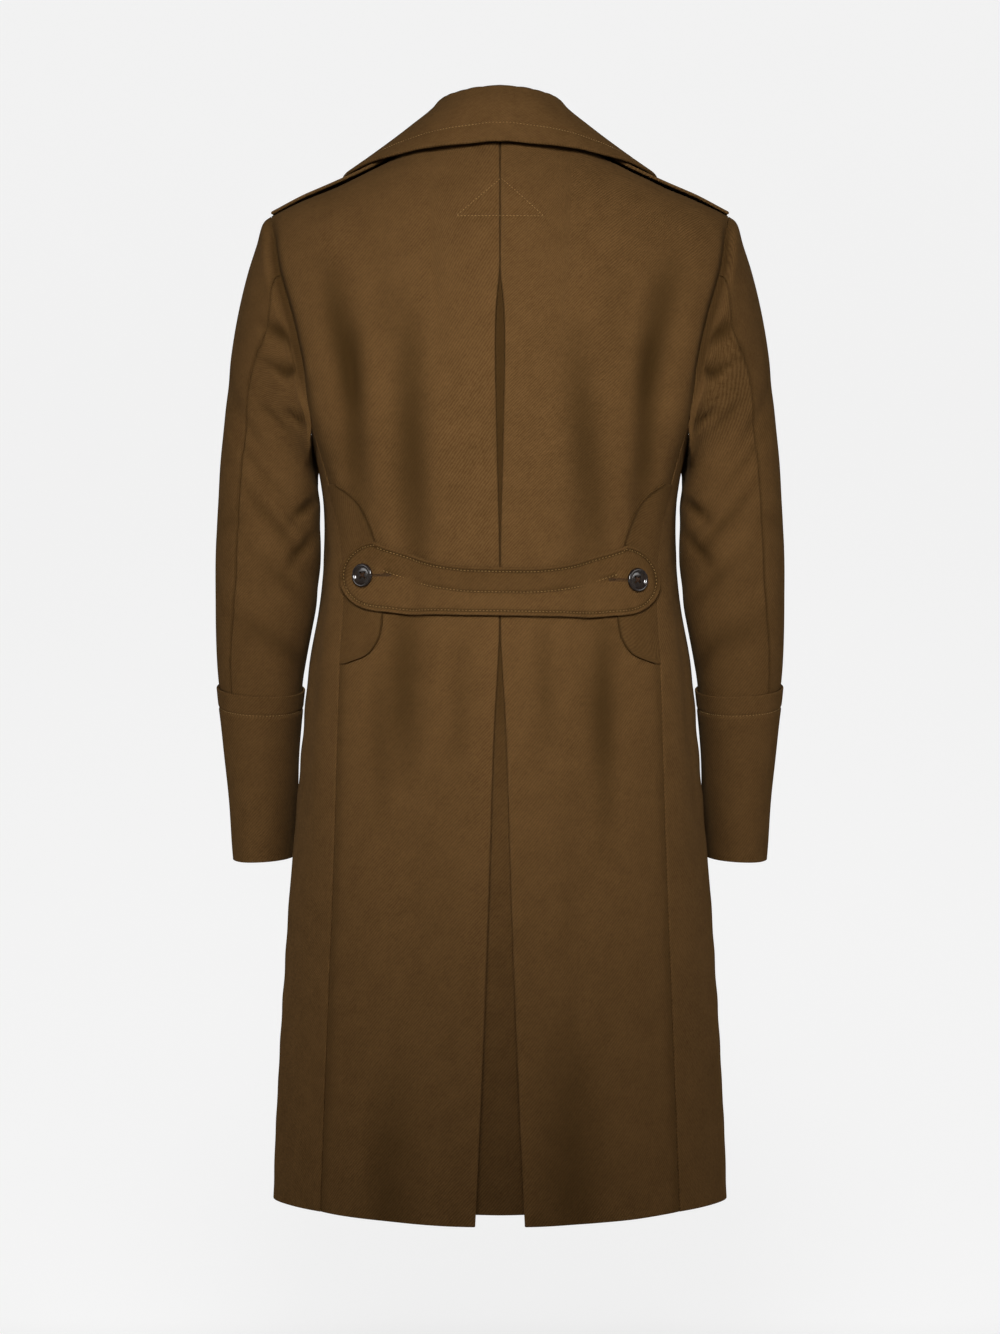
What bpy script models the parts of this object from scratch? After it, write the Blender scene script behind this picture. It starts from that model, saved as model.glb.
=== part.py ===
"""Double-breasted overcoat, hollow and open as it hangs when worn.

The back has an inverted centre pleat, closed at the top by a stitched triangle and at the waist by a
buttoned half belt. Metres, +Z up. The origin is between the shoulders, level with the base of the neck.
+Y is the coat's front and +X its right side. A point of the body is found from q, the share of the way
from the centre line to the side seam or armhole, and v, the height under the underarm line or, above
that line, the share of the way up to the shoulder ridge.
"""

import math

import bpy
import numpy as np
from mathutils import Vector

# Walls and the spaces between pieces
WALL = 0.0020
COLLAR_WALL = 0.0036
LAPEL_WALL = 0.0026
CUFF_WALL = 0.0026
STRAP_WALL = 0.0032
PATCH_WALL = 0.0014
BELT_WALL = 0.0032
SEAM = 0.0003
SLEEVE_SEAM = 0.0005
LAY = 0.0006
LOOSE_LAY = 0.0015
SHARP_DEGREES = 50

# Body of the coat
BACK, FRONT = -1, 1
LEFT, RIGHT = -1, 1
HEM = -1.050
UNDERARM = -0.280
TIP_X = 0.228
TIP_Z = -0.067
RIDGE_SHARE = 0.9997
HIGHEST_SHARE = 0.99
SETTLE_STEPS = 25
ARCH = 2 / 2.4
FRONT_POWER = 2.3
HEM_RISE = 0.004
UNDERARM_DIP = 0.022
DIP_SHARES = (0.3, 0.7, 1.0)
STEP = 1e-3
SIDE_INSET = 0.0015
BODY_RINGS = (
    ("height", "half_width", "back_depth", "front_depth", "back_power"),
    (-1.050, 0.2250, 0.198, 0.178, 1.85),
    (-0.880, 0.2170, 0.186, 0.171, 1.95),
    (-0.705, 0.2075, 0.171, 0.163, 2.10),
    (-0.600, 0.1990, 0.155, 0.157, 2.25),
    (-0.500, 0.1885, 0.136, 0.152, 2.45),
    (-0.440, 0.1785, 0.124, 0.149, 2.50),
    (-0.380, 0.1750, 0.127, 0.150, 2.70),
    (-0.330, 0.1790, 0.132, 0.151, 3.60),
    (-0.280, 0.1900, 0.136, 0.152, 5.50),
)
DEPTH_COLUMN = {BACK: "back_depth", FRONT: "front_depth"}
PANEL_EDGE = {
    BACK: (
        ("height", "half_width"),
        (-1.050, 0.1750),
        (-0.900, 0.1695),
        (-0.700, 0.1620),
        (-0.520, 0.1570),
        (-0.440, 0.1535),
        (-0.383, 0.1580),
        (-0.339, 0.1680),
        (-0.280, 0.1835),
        (-0.240, 0.1930),
        (-0.180, 0.2060),
        (-0.120, 0.2220),
        (-0.067, 0.2280),
    ),
    FRONT: (
        ("height", "half_width"),
        (-1.050, 0.2010),
        (-0.880, 0.1935),
        (-0.705, 0.1855),
        (-0.600, 0.1780),
        (-0.500, 0.1685),
        (-0.440, 0.1595),
        (-0.380, 0.1560),
        (-0.330, 0.1580),
        (-0.280, 0.1630),
        (-0.240, 0.1680),
        (-0.180, 0.1830),
        (-0.120, 0.2080),
        (-0.067, 0.2280),
    ),
}
SHOULDER_RIDGE = (
    ("x", "height"),
    (-0.075, 0.007),
    (0.000, 0.034),
    (0.075, 0.007),
    (0.110, -0.013),
    (0.155, -0.035),
    (0.208, -0.058),
    (0.228, -0.067),
)
LOWER_ROWS = (
    *(HEM, -0.96, -0.87, -0.78, -0.70, -0.63, -0.57, -0.525),
    *(-0.49, -0.46, -0.43, -0.40, -0.37, -0.34, -0.305),
)
UPPER_ROWS = (0.0, 0.10, 0.22, 0.34, 0.46, 0.60, 0.72, 0.84, 0.93, 1.0)
NECK_HALF = 0.0705
NECK_BACK = 0.070

# Inverted pleat of the back
PLEAT_RETURN = 0.045
PLEAT_TURN = 0.0016
PLEAT_SPREAD = 1.3
UNDERLAY_RISE = 0.009
UNDERLAY_COLUMNS = 7
RETURN_SHARES = (1.0, 0.5)
TURN_DEGREES = (180, 120, 60, 0)
BACK_SHARES = (0.08, 0.18, 0.29, 0.40, 0.51, 0.62, 0.73, 0.83, 0.92, 1.0)
PLEAT_OPENING = (
    ("height", "half_opening"),
    (-1.050, 0.0238),
    (-0.940, 0.0187),
    (-0.837, 0.0144),
    (-0.727, 0.0104),
    (-0.576, 0.0055),
    (-0.475, 0.0004),
    (-0.420, 0.0004),
    (-0.370, 0.0012),
    (-0.320, 0.0026),
    (-0.245, 0.0040),
    (-0.190, 0.0047),
    (-0.135, 0.0040),
    (-0.085, 0.0003),
    (0.040, 0.0003),
)

# Soft folds of the hanging cloth, depths below the surface, fading out at the side seams
FOLD_FADE = 8
BODY_FOLDS = {
    BACK: (
        # x_top, z_top, x_low, z_low, half_width, depth
        (-0.159, -0.090, -0.137, -0.440, 0.016, 0.0084),
        (-0.084, -0.170, -0.092, -0.600, 0.018, 0.0080),
        (0.083, -0.200, 0.090, -0.560, 0.018, 0.0080),
        (0.163, -0.090, 0.139, -0.450, 0.016, 0.0086),
        (-0.098, -0.540, -0.092, -0.860, 0.022, 0.0056),
        (0.086, -0.540, 0.078, -0.960, 0.022, 0.0062),
        (-0.048, -0.500, -0.052, -1.150, 0.026, -0.0044),
        (0.046, -0.500, 0.050, -1.150, 0.024, -0.0040),
        (0.128, -0.560, 0.126, -1.150, 0.024, -0.0040),
    ),
    FRONT: (
        # x_top, z_top, x_low, z_low, half_width, depth
        (-0.128, -0.200, -0.120, -0.460, 0.020, 0.0045),
        (0.130, -0.200, 0.118, -0.460, 0.020, 0.0045),
        (-0.125, -0.470, -0.135, -1.000, 0.024, 0.0055),
        (0.135, -0.460, 0.140, -0.950, 0.024, 0.0055),
        (-0.060, -0.640, -0.070, -1.150, 0.026, -0.0040),
    ),
}

# Double-breasted closing and lapels, on the coat's own side of the centre line
FRONT_COLUMNS = 17
LAP = 0.100
UNDER_DEPTH = 0.0095
UNDER_MARGIN = 0.006
UNDER_SLOPE = 0.070
BREAK_Z = -0.297
GORGE_X = 0.058
GORGE_Z = -0.012
ROLL_REACH = 1.15
LAPEL_TOP_Z = -0.020
LAPEL_LAY = 0.0027
LAPEL_BULGE = 0.0020
LAPEL_ROWS = 17
LAPEL_COLUMNS = 9
LAPEL_EDGE = (
    ("share", "x", "height"),
    (0.00, 0.152, -0.074),
    (0.12, 0.149, -0.102),
    (0.35, 0.120, -0.150),
    (0.60, 0.066, -0.208),
    (0.85, -0.016, -0.266),
    (1.00, -0.082, -0.297),
)

# Collar from the centre back to its front end
COLLAR_LIFT = 0.0014
COLLAR_ROLL = 0.0046
COLLAR_ROLL_WIDTH = 0.9 * COLLAR_ROLL
COLLAR_SWELL = 0.004
FALL_BOWS = (
    # share of the fall, share of the swell
    (0.34, 1.0),
    (0.68, 0.9),
)
SHOULDER_SHARE = 0.60
COLLAR = (
    ("share", "fold_x", "fold_y", "fold_z", "edge_x", "edge_y", "edge_lift"),
    (0.00, 0.000, -0.066, 0.0538, 0.000, -0.088, 0.0148),
    (0.11, 0.014, -0.064, 0.0532, 0.028, -0.085, 0.0132),
    (0.22, 0.028, -0.059, 0.0520, 0.055, -0.079, 0.0138),
    (0.32, 0.039, -0.049, 0.0506, 0.076, -0.068, 0.0104),
    (0.42, 0.049, -0.038, 0.0490, 0.096, -0.054, 0.0080),
    (0.60, 0.061, -0.008, 0.0450, 0.133, -0.020, 0.0098),
    (0.78, 0.067, 0.024, 0.0350, 0.157, 0.018, 0.0116),
    (1.00, 0.062, 0.066, 0.0080, 0.150, 0.072, 0.0100),
)
COLLAR_SECTIONS = 13

# Sleeves, laid out for the right arm
SLEEVE_RINGS = (
    ("along", "outer_x", "outer_z", "inner_x", "inner_z", "centre_y", "half_depth", "lean"),
    (0.000, 0.2280, -0.0670, 0.1825, -0.3020, 0.002, 0.070, 0.00),
    (0.014, 0.2350, -0.0735, 0.1838, -0.3090, 0.002, 0.072, 0.00),
    (0.035, 0.2413, -0.0945, 0.1838, -0.3130, 0.002, 0.072, 0.00),
    (0.060, 0.2500, -0.1200, 0.1838, -0.3170, 0.002, 0.071, 0.00),
    (0.120, 0.2630, -0.1740, 0.1822, -0.3270, 0.001, 0.068, 0.00),
    (0.190, 0.2725, -0.2400, 0.1812, -0.3430, 0.000, 0.065, 0.00),
    (0.265, 0.2785, -0.3100, 0.1792, -0.3740, -0.002, 0.063, 0.00),
    (0.335, 0.2828, -0.3800, 0.1796, -0.4130, -0.001, 0.062, 0.03),
    (0.400, 0.2850, -0.4450, 0.1832, -0.4600, 0.007, 0.062, 0.08),
    (0.465, 0.2842, -0.5050, 0.1950, -0.5120, 0.021, 0.061, 0.13),
    (0.530, 0.2790, -0.5700, 0.2032, -0.5720, 0.037, 0.060, 0.14),
    (0.600, 0.2718, -0.6400, 0.2078, -0.6390, 0.053, 0.059, 0.09),
    (0.668, 0.2678, -0.7120, 0.2120, -0.7090, 0.066, 0.058, 0.04),
)
SLEEVE_ROWS = (0.0, 0.014, 0.045, 0.085, 0.13, 0.18, 0.235, 0.29, 0.345, 0.40, 0.455, 0.51, 0.59, 0.668)
SLEEVE_POWER = 2.2
SLEEVE_BLEND = 0.22
NEAR_EDGE = 0.998
BACK_SEAM_ROW = 4
FRONT_SEAM_ROW = 1
UNDERARM_SHARES = (0.2, 0.4, 0.6, 0.8)
BACK_SEAM_ANGLE = (
    ("along", "degrees"),
    (0.000, 60.0),
    (0.030, 66.5),
    (0.070, 70.5),
    (0.100, 66.5),
    (0.140, 62.2),
    (0.190, 60.0),
    (0.270, 58.8),
    (0.330, 58.3),
    (0.400, 56.1),
    (0.470, 52.5),
    (0.668, 54.0),
)
SLEEVE_FOLDS = (
    # along, degrees, half_along, half_degrees, slant, depth
    (0.215, 60.0, 0.020, 50.0, 0.0005, 0.0045),
    (0.270, 105.0, 0.020, 45.0, 0.0006, 0.0055),
    (0.340, 130.0, 0.022, 45.0, 0.0006, 0.0055),
    (0.395, 95.0, 0.022, 55.0, 0.0004, 0.0035),
    (0.300, 280.0, 0.024, 55.0, -0.0006, 0.0055),
    (0.365, 265.0, 0.024, 55.0, -0.0005, 0.0055),
    (0.160, 300.0, 0.030, 45.0, 0.0006, 0.0040),
)

# Turn-back cuffs
CUFF_ROWS = (0.496, 0.517, 0.590, 0.669)
CUFF_PLAIN = 0.590
CUFF_FLARE = 0.0016
CUFF_SIDES = 22

# Shoulder straps
STRAP_SEWN_LIFT = 0.0024
STRAP_LIFT = 0.0046
STRAP_HALF = 0.026
STRAP_TAPER = 0.18
STRAP_BEND = 0.62
STRAP_RISE_SHARE = 1 / 3
STRAP_NECK_X = 0.112
STRAP_ROWS = 8
STRAP_COLUMNS = 5

# Half belt with its patches
BELT_OUT = 0.0036
BELT_TILT = 0.018
BELT_OUTLINE = (
    ("x", "top", "bottom"),
    (0.000, -0.4200, -0.4685),
    (0.040, -0.4190, -0.4685),
    (0.075, -0.4130, -0.4680),
    (0.105, -0.4030, -0.4665),
    (0.125, -0.3960, -0.4650),
    (0.138, -0.3960, -0.4610),
    (0.147, -0.4050, -0.4500),
    (0.153, -0.4220, -0.4350),
)
BELT_COLUMNS = (0, 0.02, 0.04, 0.06, 0.08, 0.1, 0.115, 0.125, 0.133, 0.14, 0.146, 0.15, 0.153)
BELT_BANDS = 4
PATCH_TOP = -0.338
PATCH_BOTTOM = -0.514
PATCH_EDGE = (
    ("share", "x", "height"),
    (0.00, 0.1600, -0.3380),
    (0.12, 0.1480, -0.3490),
    (0.26, 0.1345, -0.3650),
    (0.42, 0.1215, -0.3930),
    (0.58, 0.1155, -0.4300),
    (0.74, 0.1135, -0.4680),
    (0.86, 0.1190, -0.4930),
    (0.94, 0.1310, -0.5070),
    (1.00, 0.1500, -0.5140),
)
PATCH_ROWS = 11
PATCH_COLUMNS = 5

# Buttons
BUTTON_SIDES = 18
BUTTON_MERGE = 0.00005
BUTTON_PROFILE = (
    # radius share, height share
    (0.62, 0.62),
    (0.78, 1.00),
    (0.93, 0.92),
    (1.00, 0.55),
    (0.90, 0.10),
    (0.70, 0.00),
)
BELT_BUTTON_RADIUS = 0.0115
BELT_BUTTON_HEIGHT = 0.0042
BELT_BUTTON_X = 0.1295
BELT_BUTTON_Z = -0.4300
FRONT_BUTTON_RADIUS = 0.0150
FRONT_BUTTON_HEIGHT = 0.0050
FRONT_BUTTON_X = 0.070
FRONT_BUTTON_ROWS = {"top": -0.340, "middle": -0.455, "low": -0.570}

WOOL = ("wool_cloth", (0.128, 0.070, 0.024, 1.0), 0.92)
HORN = ("dark_horn", (0.012, 0.008, 0.006, 1.0), 0.32)


def smooth(table, column, place):
    """Value of a table's named column at a place along its first column, on a smooth curve."""
    names, *rows = table
    places = np.array([row[0] for row in rows])
    values = np.array([row[names.index(column)] for row in rows])
    slopes = np.gradient(values, places)
    low = np.clip(np.searchsorted(places, place) - 1, 0, len(places) - 2)
    step = places[low + 1] - places[low]
    share = np.clip((place - places[low]) / step, 0.0, 1.0)
    rise = share * share * (3 - 2 * share)
    bend_in = slopes[low] * step * share * (1 - share) ** 2
    bend_out = slopes[low + 1] * step * share * share * (1 - share)
    return values[low] * (1 - rise) + values[low + 1] * rise + bend_in - bend_out


def ease(value):
    """Soft step from 0 to 1 over the unit range."""
    share = np.clip(value, 0.0, 1.0)
    return share * share * (3 - 2 * share)


def unit(vectors):
    """Vectors made one unit long."""
    return vectors / np.linalg.norm(vectors, axis=-1, keepdims=True)


def ring_power(face, height):
    """Roundness of the ring's back or front half at a height."""
    return smooth(BODY_RINGS, "back_power", height) if face == BACK else np.full_like(height, FRONT_POWER)


def ring_depth(face, x, height):
    """How far the ring at a height reaches back or forward at this x."""
    height = np.asarray(height, float)
    width = smooth(BODY_RINGS, "half_width", height)
    depth = smooth(BODY_RINGS, DEPTH_COLUMN[face], height)
    power = ring_power(face, height)
    return depth * (1 - np.clip(np.abs(x) / width, 0, 1) ** power) ** (1 / power)


def arch(v):
    """Shares of the way in and up that a row above the underarm line has come."""
    turn = np.clip(v, 0.0, 1.0) * math.pi / 2
    return np.cos(turn) ** ARCH, np.sin(turn) ** ARCH


def row_edge(face, v):
    """Half width of a panel at its row v."""
    low = UNDERARM + np.minimum(v, 0.0)
    up = arch(v)[1]
    return smooth(PANEL_EDGE[face], "half_width", low + (TIP_Z - UNDERARM) * up)


def shell(face, q, v):
    """Plain outer surface of the body, without folds."""
    q, v = np.broadcast_arrays(np.asarray(q, float), np.asarray(v, float))
    low = UNDERARM + np.minimum(v, 0.0)
    inward, up = arch(v)
    x_low = q * smooth(PANEL_EDGE[face], "half_width", low)
    ridge = smooth(SHOULDER_RIDGE, "height", np.abs(q) * TIP_X)
    x = q * row_edge(face, v)
    y = face * ring_depth(face, x_low, low) * inward
    z = low + (ridge - UNDERARM) * up
    return np.stack([x, y, z], axis=-1)


def fold_depth(face, x, z):
    """How far the soft folds pull the cloth in at a point."""
    depth = np.zeros_like(x)
    for x_top, z_top, x_low, z_low, half_width, deep in BODY_FOLDS[face]:
        along = np.clip((z_top - z) / (z_top - z_low), 0.0, 1.0)
        across = (x - x_top - (x_low - x_top) * along) / half_width
        depth += deep * np.sin(math.pi * along) * np.exp(-across * across)
    return depth


def outward(face, q, v):
    """Unit normal of the plain body surface, pointing out of the coat."""
    across = shell(face, q + STEP, v) - shell(face, q - STEP, v)
    along = shell(face, q, v + STEP) - shell(face, q, v - STEP)
    return -face * unit(np.cross(across, along))


def body(face, q, v, out):
    """Body point with its folds, moved out from the surface."""
    plain = shell(face, q, v)
    fade = 1 - np.clip(np.abs(q), 0, 1) ** FOLD_FADE
    push = out - fade * fold_depth(face, plain[..., 0], plain[..., 2])
    return plain + outward(face, q, v) * push[..., None]


def locate(face, x, z):
    """Shares q and v of the body point that has this x and height."""
    above = z > UNDERARM
    share = np.clip((z - UNDERARM) / (TIP_Z - UNDERARM), 0.0, HIGHEST_SHARE)
    for _ in range(SETTLE_STEPS):
        edge_height = np.where(above, UNDERARM + (TIP_Z - UNDERARM) * share, z)
        q = x / smooth(PANEL_EDGE[face], "half_width", edge_height)
        ridge = smooth(SHOULDER_RIDGE, "height", np.abs(q) * TIP_X)
        share = np.clip((z - UNDERARM) / (ridge - UNDERARM), 0.0, HIGHEST_SHARE)
    up_row = np.arcsin(share ** (1 / ARCH)) * 2 / math.pi
    return q, np.where(above, up_row, z - UNDERARM)


def on_body(face, x, z, out):
    """Body point at this x and height, moved out from the surface."""
    x, z, out = np.broadcast_arrays(*(np.asarray(value, float) for value in (x, z, out)))
    q, v = locate(face, x, z)
    return body(face, q, v, out)


def shoulder_height(x, y):
    """Height of the body over a point of the plan, near the shoulders."""
    x, y = np.broadcast_arrays(np.asarray(x, float), np.asarray(y, float))
    height = np.zeros_like(x)
    for face in (BACK, FRONT):
        q = np.abs(x) / TIP_X
        for _ in range(SETTLE_STEPS):
            reach = ring_depth(face, q * row_edge(face, 0.0), UNDERARM)
            inward = np.clip(np.abs(y) / reach, 0.0, 1.0)
            up = np.sin(np.arccos(inward ** (1 / ARCH))) ** ARCH
            q = np.abs(x) / smooth(PANEL_EDGE[face], "half_width", UNDERARM + (TIP_Z - UNDERARM) * up)
        ridge = smooth(SHOULDER_RIDGE, "height", q * TIP_X)
        height = np.where(y * face >= 0, UNDERARM + (ridge - UNDERARM) * up, height)
    return height


def rows_of_body():
    """Row values from the hem up to the shoulder."""
    lower = [height - UNDERARM for height in LOWER_ROWS]
    return np.array(lower + list(UPPER_ROWS))


def along_row(v, q):
    """Row value at each q of a row: the hem rises a little towards the sides."""
    return v + HEM_RISE * q * q * (v <= HEM - UNDERARM)


def paint(name, colour, roughness):
    """Plain material of one finish."""
    if name in bpy.data.materials:
        return bpy.data.materials[name]
    material = bpy.data.materials.new(name)
    material.use_nodes = True
    shader = material.node_tree.nodes["Principled BSDF"]
    shader.inputs["Base Color"].default_value = colour
    shader.inputs["Roughness"].default_value = roughness
    shader.inputs["Metallic"].default_value = 0.0
    return material


def add_part(name, mesh, finish, group):
    """Object of one piece, smooth over its soft bends."""
    mesh.materials.append(paint(*finish))
    mesh.shade_smooth()
    mesh.set_sharp_from_angle(angle=math.radians(SHARP_DEGREES))
    part = bpy.data.objects.new(name, mesh)
    group.objects.link(part)
    return part


def facing(points, faces):
    """Six times the volume inside the faces, below zero where they face in."""
    volume = 0.0
    for face in faces:
        for second, third in zip(face[1:], face[2:]):
            volume += np.dot(points[face[0]], np.cross(points[second], points[third]))
    return volume


def loft(name, outer, inner, group, ring=False):
    """Closed wall between an outer and an inner grid; a ring joins its last column to its first."""
    rows, columns = outer.shape[:2]
    points = np.concatenate([outer.reshape(-1, 3), inner.reshape(-1, 3)])
    last = columns if ring else columns - 1
    inside = rows * columns
    faces = []
    for row in range(rows - 1):
        for column in range(last):
            here = row * columns + column
            right = row * columns + (column + 1) % columns
            faces.append((here, right, right + columns, here + columns))
            faces.append(tuple(corner + inside for corner in (here + columns, right + columns, right, here)))
    rims = [[row * columns + column for column in range(columns)] for row in (0, rows - 1)]
    rims = [rim + rim[:1] for rim in rims] if ring else rims
    if not ring:
        rims += [[row * columns + column for row in range(rows)] for column in (columns - 1, 0)]
    for index, rim in enumerate(rims):
        for start, end in zip(rim, rim[1:]):
            halves = [(start + inside, end + inside, end), (start + inside, end, start)]
            faces += halves if index in (0, 2) else [half[::-1] for half in halves]
    if facing(points, faces) < 0:
        faces = [face[::-1] for face in faces]
    mesh = bpy.data.meshes.new(name)
    mesh.from_pydata(points.tolist(), [], faces)
    return add_part(name, mesh, WOOL, group)


def grid_normals(middle):
    """Unit normals of an open grid of points."""
    return unit(np.cross(np.gradient(middle, axis=1), np.gradient(middle, axis=0)))


def loft_about(name, middle, wall, group, ring=False):
    """Closed wall of one thickness about a middle surface."""
    if ring:
        wide = np.concatenate([middle[:, -1:], middle, middle[:, :1]], axis=1)
        normals = grid_normals(wide)[:, 1:-1]
    else:
        normals = grid_normals(middle)
    return loft(name, middle + normals * wall / 2, middle - normals * wall / 2, group, ring)


def neck_row(q):
    """Highest row of the back at q: the shoulder ridge, or the neckline inside the neck width."""
    x = np.abs(q) * TIP_X
    line = NECK_BACK * np.sqrt(np.clip(1 - (x / NECK_HALF) ** 2, 0.0, 1.0))
    reach = ring_depth(BACK, q * row_edge(BACK, 0.0), UNDERARM)
    turn = np.arccos(np.clip(line / reach, 0.0, 1.0) ** (1 / ARCH)) * 2 / math.pi
    return np.minimum(turn, RIDGE_SHARE)


def pleat_half(v):
    """Half opening of the centre pleat at row v, measured at the centre of the back."""
    height = shell(BACK, 0.0, v)[..., 2]
    return np.maximum(smooth(PLEAT_OPENING, "half_opening", height), SEAM / 2)


def back_section(v):
    """Section of a half back at row v: x with the depths of its outer and inner faces, from the end of the
    pleat's return, round the folded edge, to the side."""
    turn = PLEAT_TURN
    start = pleat_half(v) + turn + WALL / 2
    deep = WALL / 2 + turn
    spread = PLEAT_SPREAD * pleat_half(v)
    section = []
    for share in RETURN_SHARES:
        x = start + PLEAT_RETURN * share
        sink = spread * share
        section.append((x, x, -2 * deep - sink, -2 * turn - sink))
    for degrees in TURN_DEGREES:
        angle = math.radians(degrees)
        outer = turn + WALL / 2
        inner = turn - WALL / 2
        section.append(
            (
                start - outer * math.sin(angle),
                start - inner * math.sin(angle),
                outer * math.cos(angle) - deep,
                inner * math.cos(angle) - deep,
            )
        )
    side = row_edge(BACK, v) - SEAM / 2
    for share in BACK_SHARES:
        x = start + (side - start) * share
        section.append((x, x, 0.0, -WALL))
    return np.array(section)


def make_back(name, side, group):
    """Half back with its folded pleat edge."""
    outer, inner = [], []
    for v in rows_of_body():
        section = back_section(v)
        edge = row_edge(BACK, v)
        faces = []
        for x_column, out_column in ((0, 2), (1, 3)):
            q = section[:, x_column] / edge
            row = v * neck_row(q) if v > 0 else along_row(v, q)
            faces.append(body(BACK, side * q, row, section[:, out_column]))
        outer.append(faces[0])
        inner.append(faces[1])
    return loft(name, np.array(outer), np.array(inner), group)


def make_underlay(name, group):
    """Strip behind the pleat, deeper where the pleat spreads."""
    outer, inner = [], []
    for v in rows_of_body():
        half = pleat_half(v)
        sink = 2 * WALL + 2 * PLEAT_TURN + LAY + PLEAT_SPREAD * half
        x = (half + PLEAT_RETURN) * np.linspace(-1, 1, UNDERLAY_COLUMNS)
        q = x / row_edge(BACK, v)
        row = v * neck_row(q) if v > 0 else along_row(v, q)
        if v <= HEM - UNDERARM:
            row = row + UNDERLAY_RISE
        outer.append(body(BACK, q, row, np.full_like(q, -sink)))
        inner.append(body(BACK, q, row, np.full_like(q, -sink - WALL)))
    return loft(name, np.array(outer), np.array(inner), group)


def side_point(side, share, height, out):
    """Side panel point, from the side-back seam (0) round to the side-front seam (1)."""

    def plain(at, z):
        width = smooth(BODY_RINGS, "half_width", z)
        turns = []
        for face in (BACK, FRONT):
            seam = smooth(PANEL_EDGE[face], "half_width", z) / width
            turns.append(np.arcsin(seam ** (ring_power(face, z) / 2)))
        angle = turns[0] + (math.pi - turns[1] - turns[0]) * at
        cosine = np.cos(angle)
        power = np.where(cosine >= 0, ring_power(BACK, z), ring_power(FRONT, z))
        depths = [smooth(BODY_RINGS, DEPTH_COLUMN[face], z) for face in (BACK, FRONT)]
        depth = np.where(cosine >= 0, *depths)
        x = width * np.sin(angle) ** (2 / power)
        y = -np.sign(cosine) * depth * np.abs(cosine) ** (2 / power)
        return np.stack([side * x, y, z], axis=-1)

    share, height = np.broadcast_arrays(np.asarray(share, float), np.asarray(height, float))
    across = plain(share + STEP, height) - plain(share - STEP, height)
    along = plain(share, height + STEP) - plain(share, height - STEP)
    return plain(share, height) + side * unit(np.cross(across, along)) * out


def underarm_height(share):
    """Top edge of the side panel, dipping under the arm."""
    return UNDERARM - UNDERARM_DIP * np.sin(math.pi * share)


def make_side(name, side, group):
    """Side body under the arm."""
    shares = np.array((SIDE_INSET,) + UNDERARM_SHARES + (1 - SIDE_INSET,))
    heights = [np.full_like(shares, height) for height in LOWER_ROWS + (UNDERARM,)]
    heights[0] = heights[0] + HEM_RISE
    for back, part in enumerate(reversed(DIP_SHARES), 1):
        heights[-back] = heights[-back] - part * UNDERARM_DIP * np.sin(math.pi * shares)
    outer = np.array([side_point(side, shares, height, 0.0) for height in heights])
    inner = np.array([side_point(side, shares, height, -WALL) for height in heights])
    return loft(name, outer, inner, group)


def roll_x(z):
    """Own-side x of a front's edge or, above the break, of its roll line."""
    return -LAP + (GORGE_X + LAP) * np.clip((z - BREAK_Z) / (GORGE_Z - BREAK_Z), 0.0, ROLL_REACH)


def front_edge_x(v):
    """Own-side x of a front's edge at row v."""
    x = np.asarray(0.0)
    for _ in range(SETTLE_STEPS):
        z = shell(FRONT, x / row_edge(FRONT, v), v)[..., 2]
        x = roll_x(z)
    return float(x)


def under_share(side, x, z):
    """How far the right front is sunk under the left one, 0 to 1, at own-side x."""
    if side == LEFT:
        return np.zeros_like(x)
    cover = -roll_x(z)
    return ease((cover + UNDER_MARGIN + UNDER_SLOPE - x) / UNDER_SLOPE)


def make_front(name, side, group):
    """Front panel, from its edge or roll line round to the side."""
    outer, inner = [], []
    for v in rows_of_body():
        row = min(v, RIDGE_SHARE)
        start = front_edge_x(row)
        x = start + (row_edge(FRONT, row) - SEAM / 2 - start) * np.linspace(0, 1, FRONT_COLUMNS)
        q = x / row_edge(FRONT, row)
        z = shell(FRONT, q, row)[..., 2]
        sink = UNDER_DEPTH * under_share(side, x, z)
        level = along_row(row, q)
        outer.append(body(FRONT, side * q, level, -sink))
        inner.append(body(FRONT, side * q, level, -sink - WALL))
    return loft(name, np.array(outer), np.array(inner), group)


def make_lapel(name, side, group):
    """Turned-back top of a front, from the roll line out to its edge."""
    middle = []
    across = np.concatenate([[0.0], np.linspace(0, 1, LAPEL_COLUMNS)])
    for share in np.linspace(0, 1, LAPEL_ROWS):
        roll_z = LAPEL_TOP_Z + (BREAK_Z - LAPEL_TOP_Z) * share
        roll = float(roll_x(roll_z))
        edge_x = float(smooth(LAPEL_EDGE, "x", share))
        edge_z = float(smooth(LAPEL_EDGE, "height", share))
        x = roll + (edge_x - roll) * across
        z = roll_z + (edge_z - roll_z) * across
        x[0] = roll - LAY - LAPEL_WALL / 2
        under = under_share(side, x, z)
        out = LAPEL_LAY + LAPEL_WALL / 2 + LAPEL_BULGE * np.sin(math.pi * across) * (1 - under)
        out[0] = -WALL / 2
        out = out - UNDER_DEPTH * under
        middle.append(on_body(FRONT, side * x, z, out))
    return loft_about(name, np.array(middle), LAPEL_WALL, group)


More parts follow.
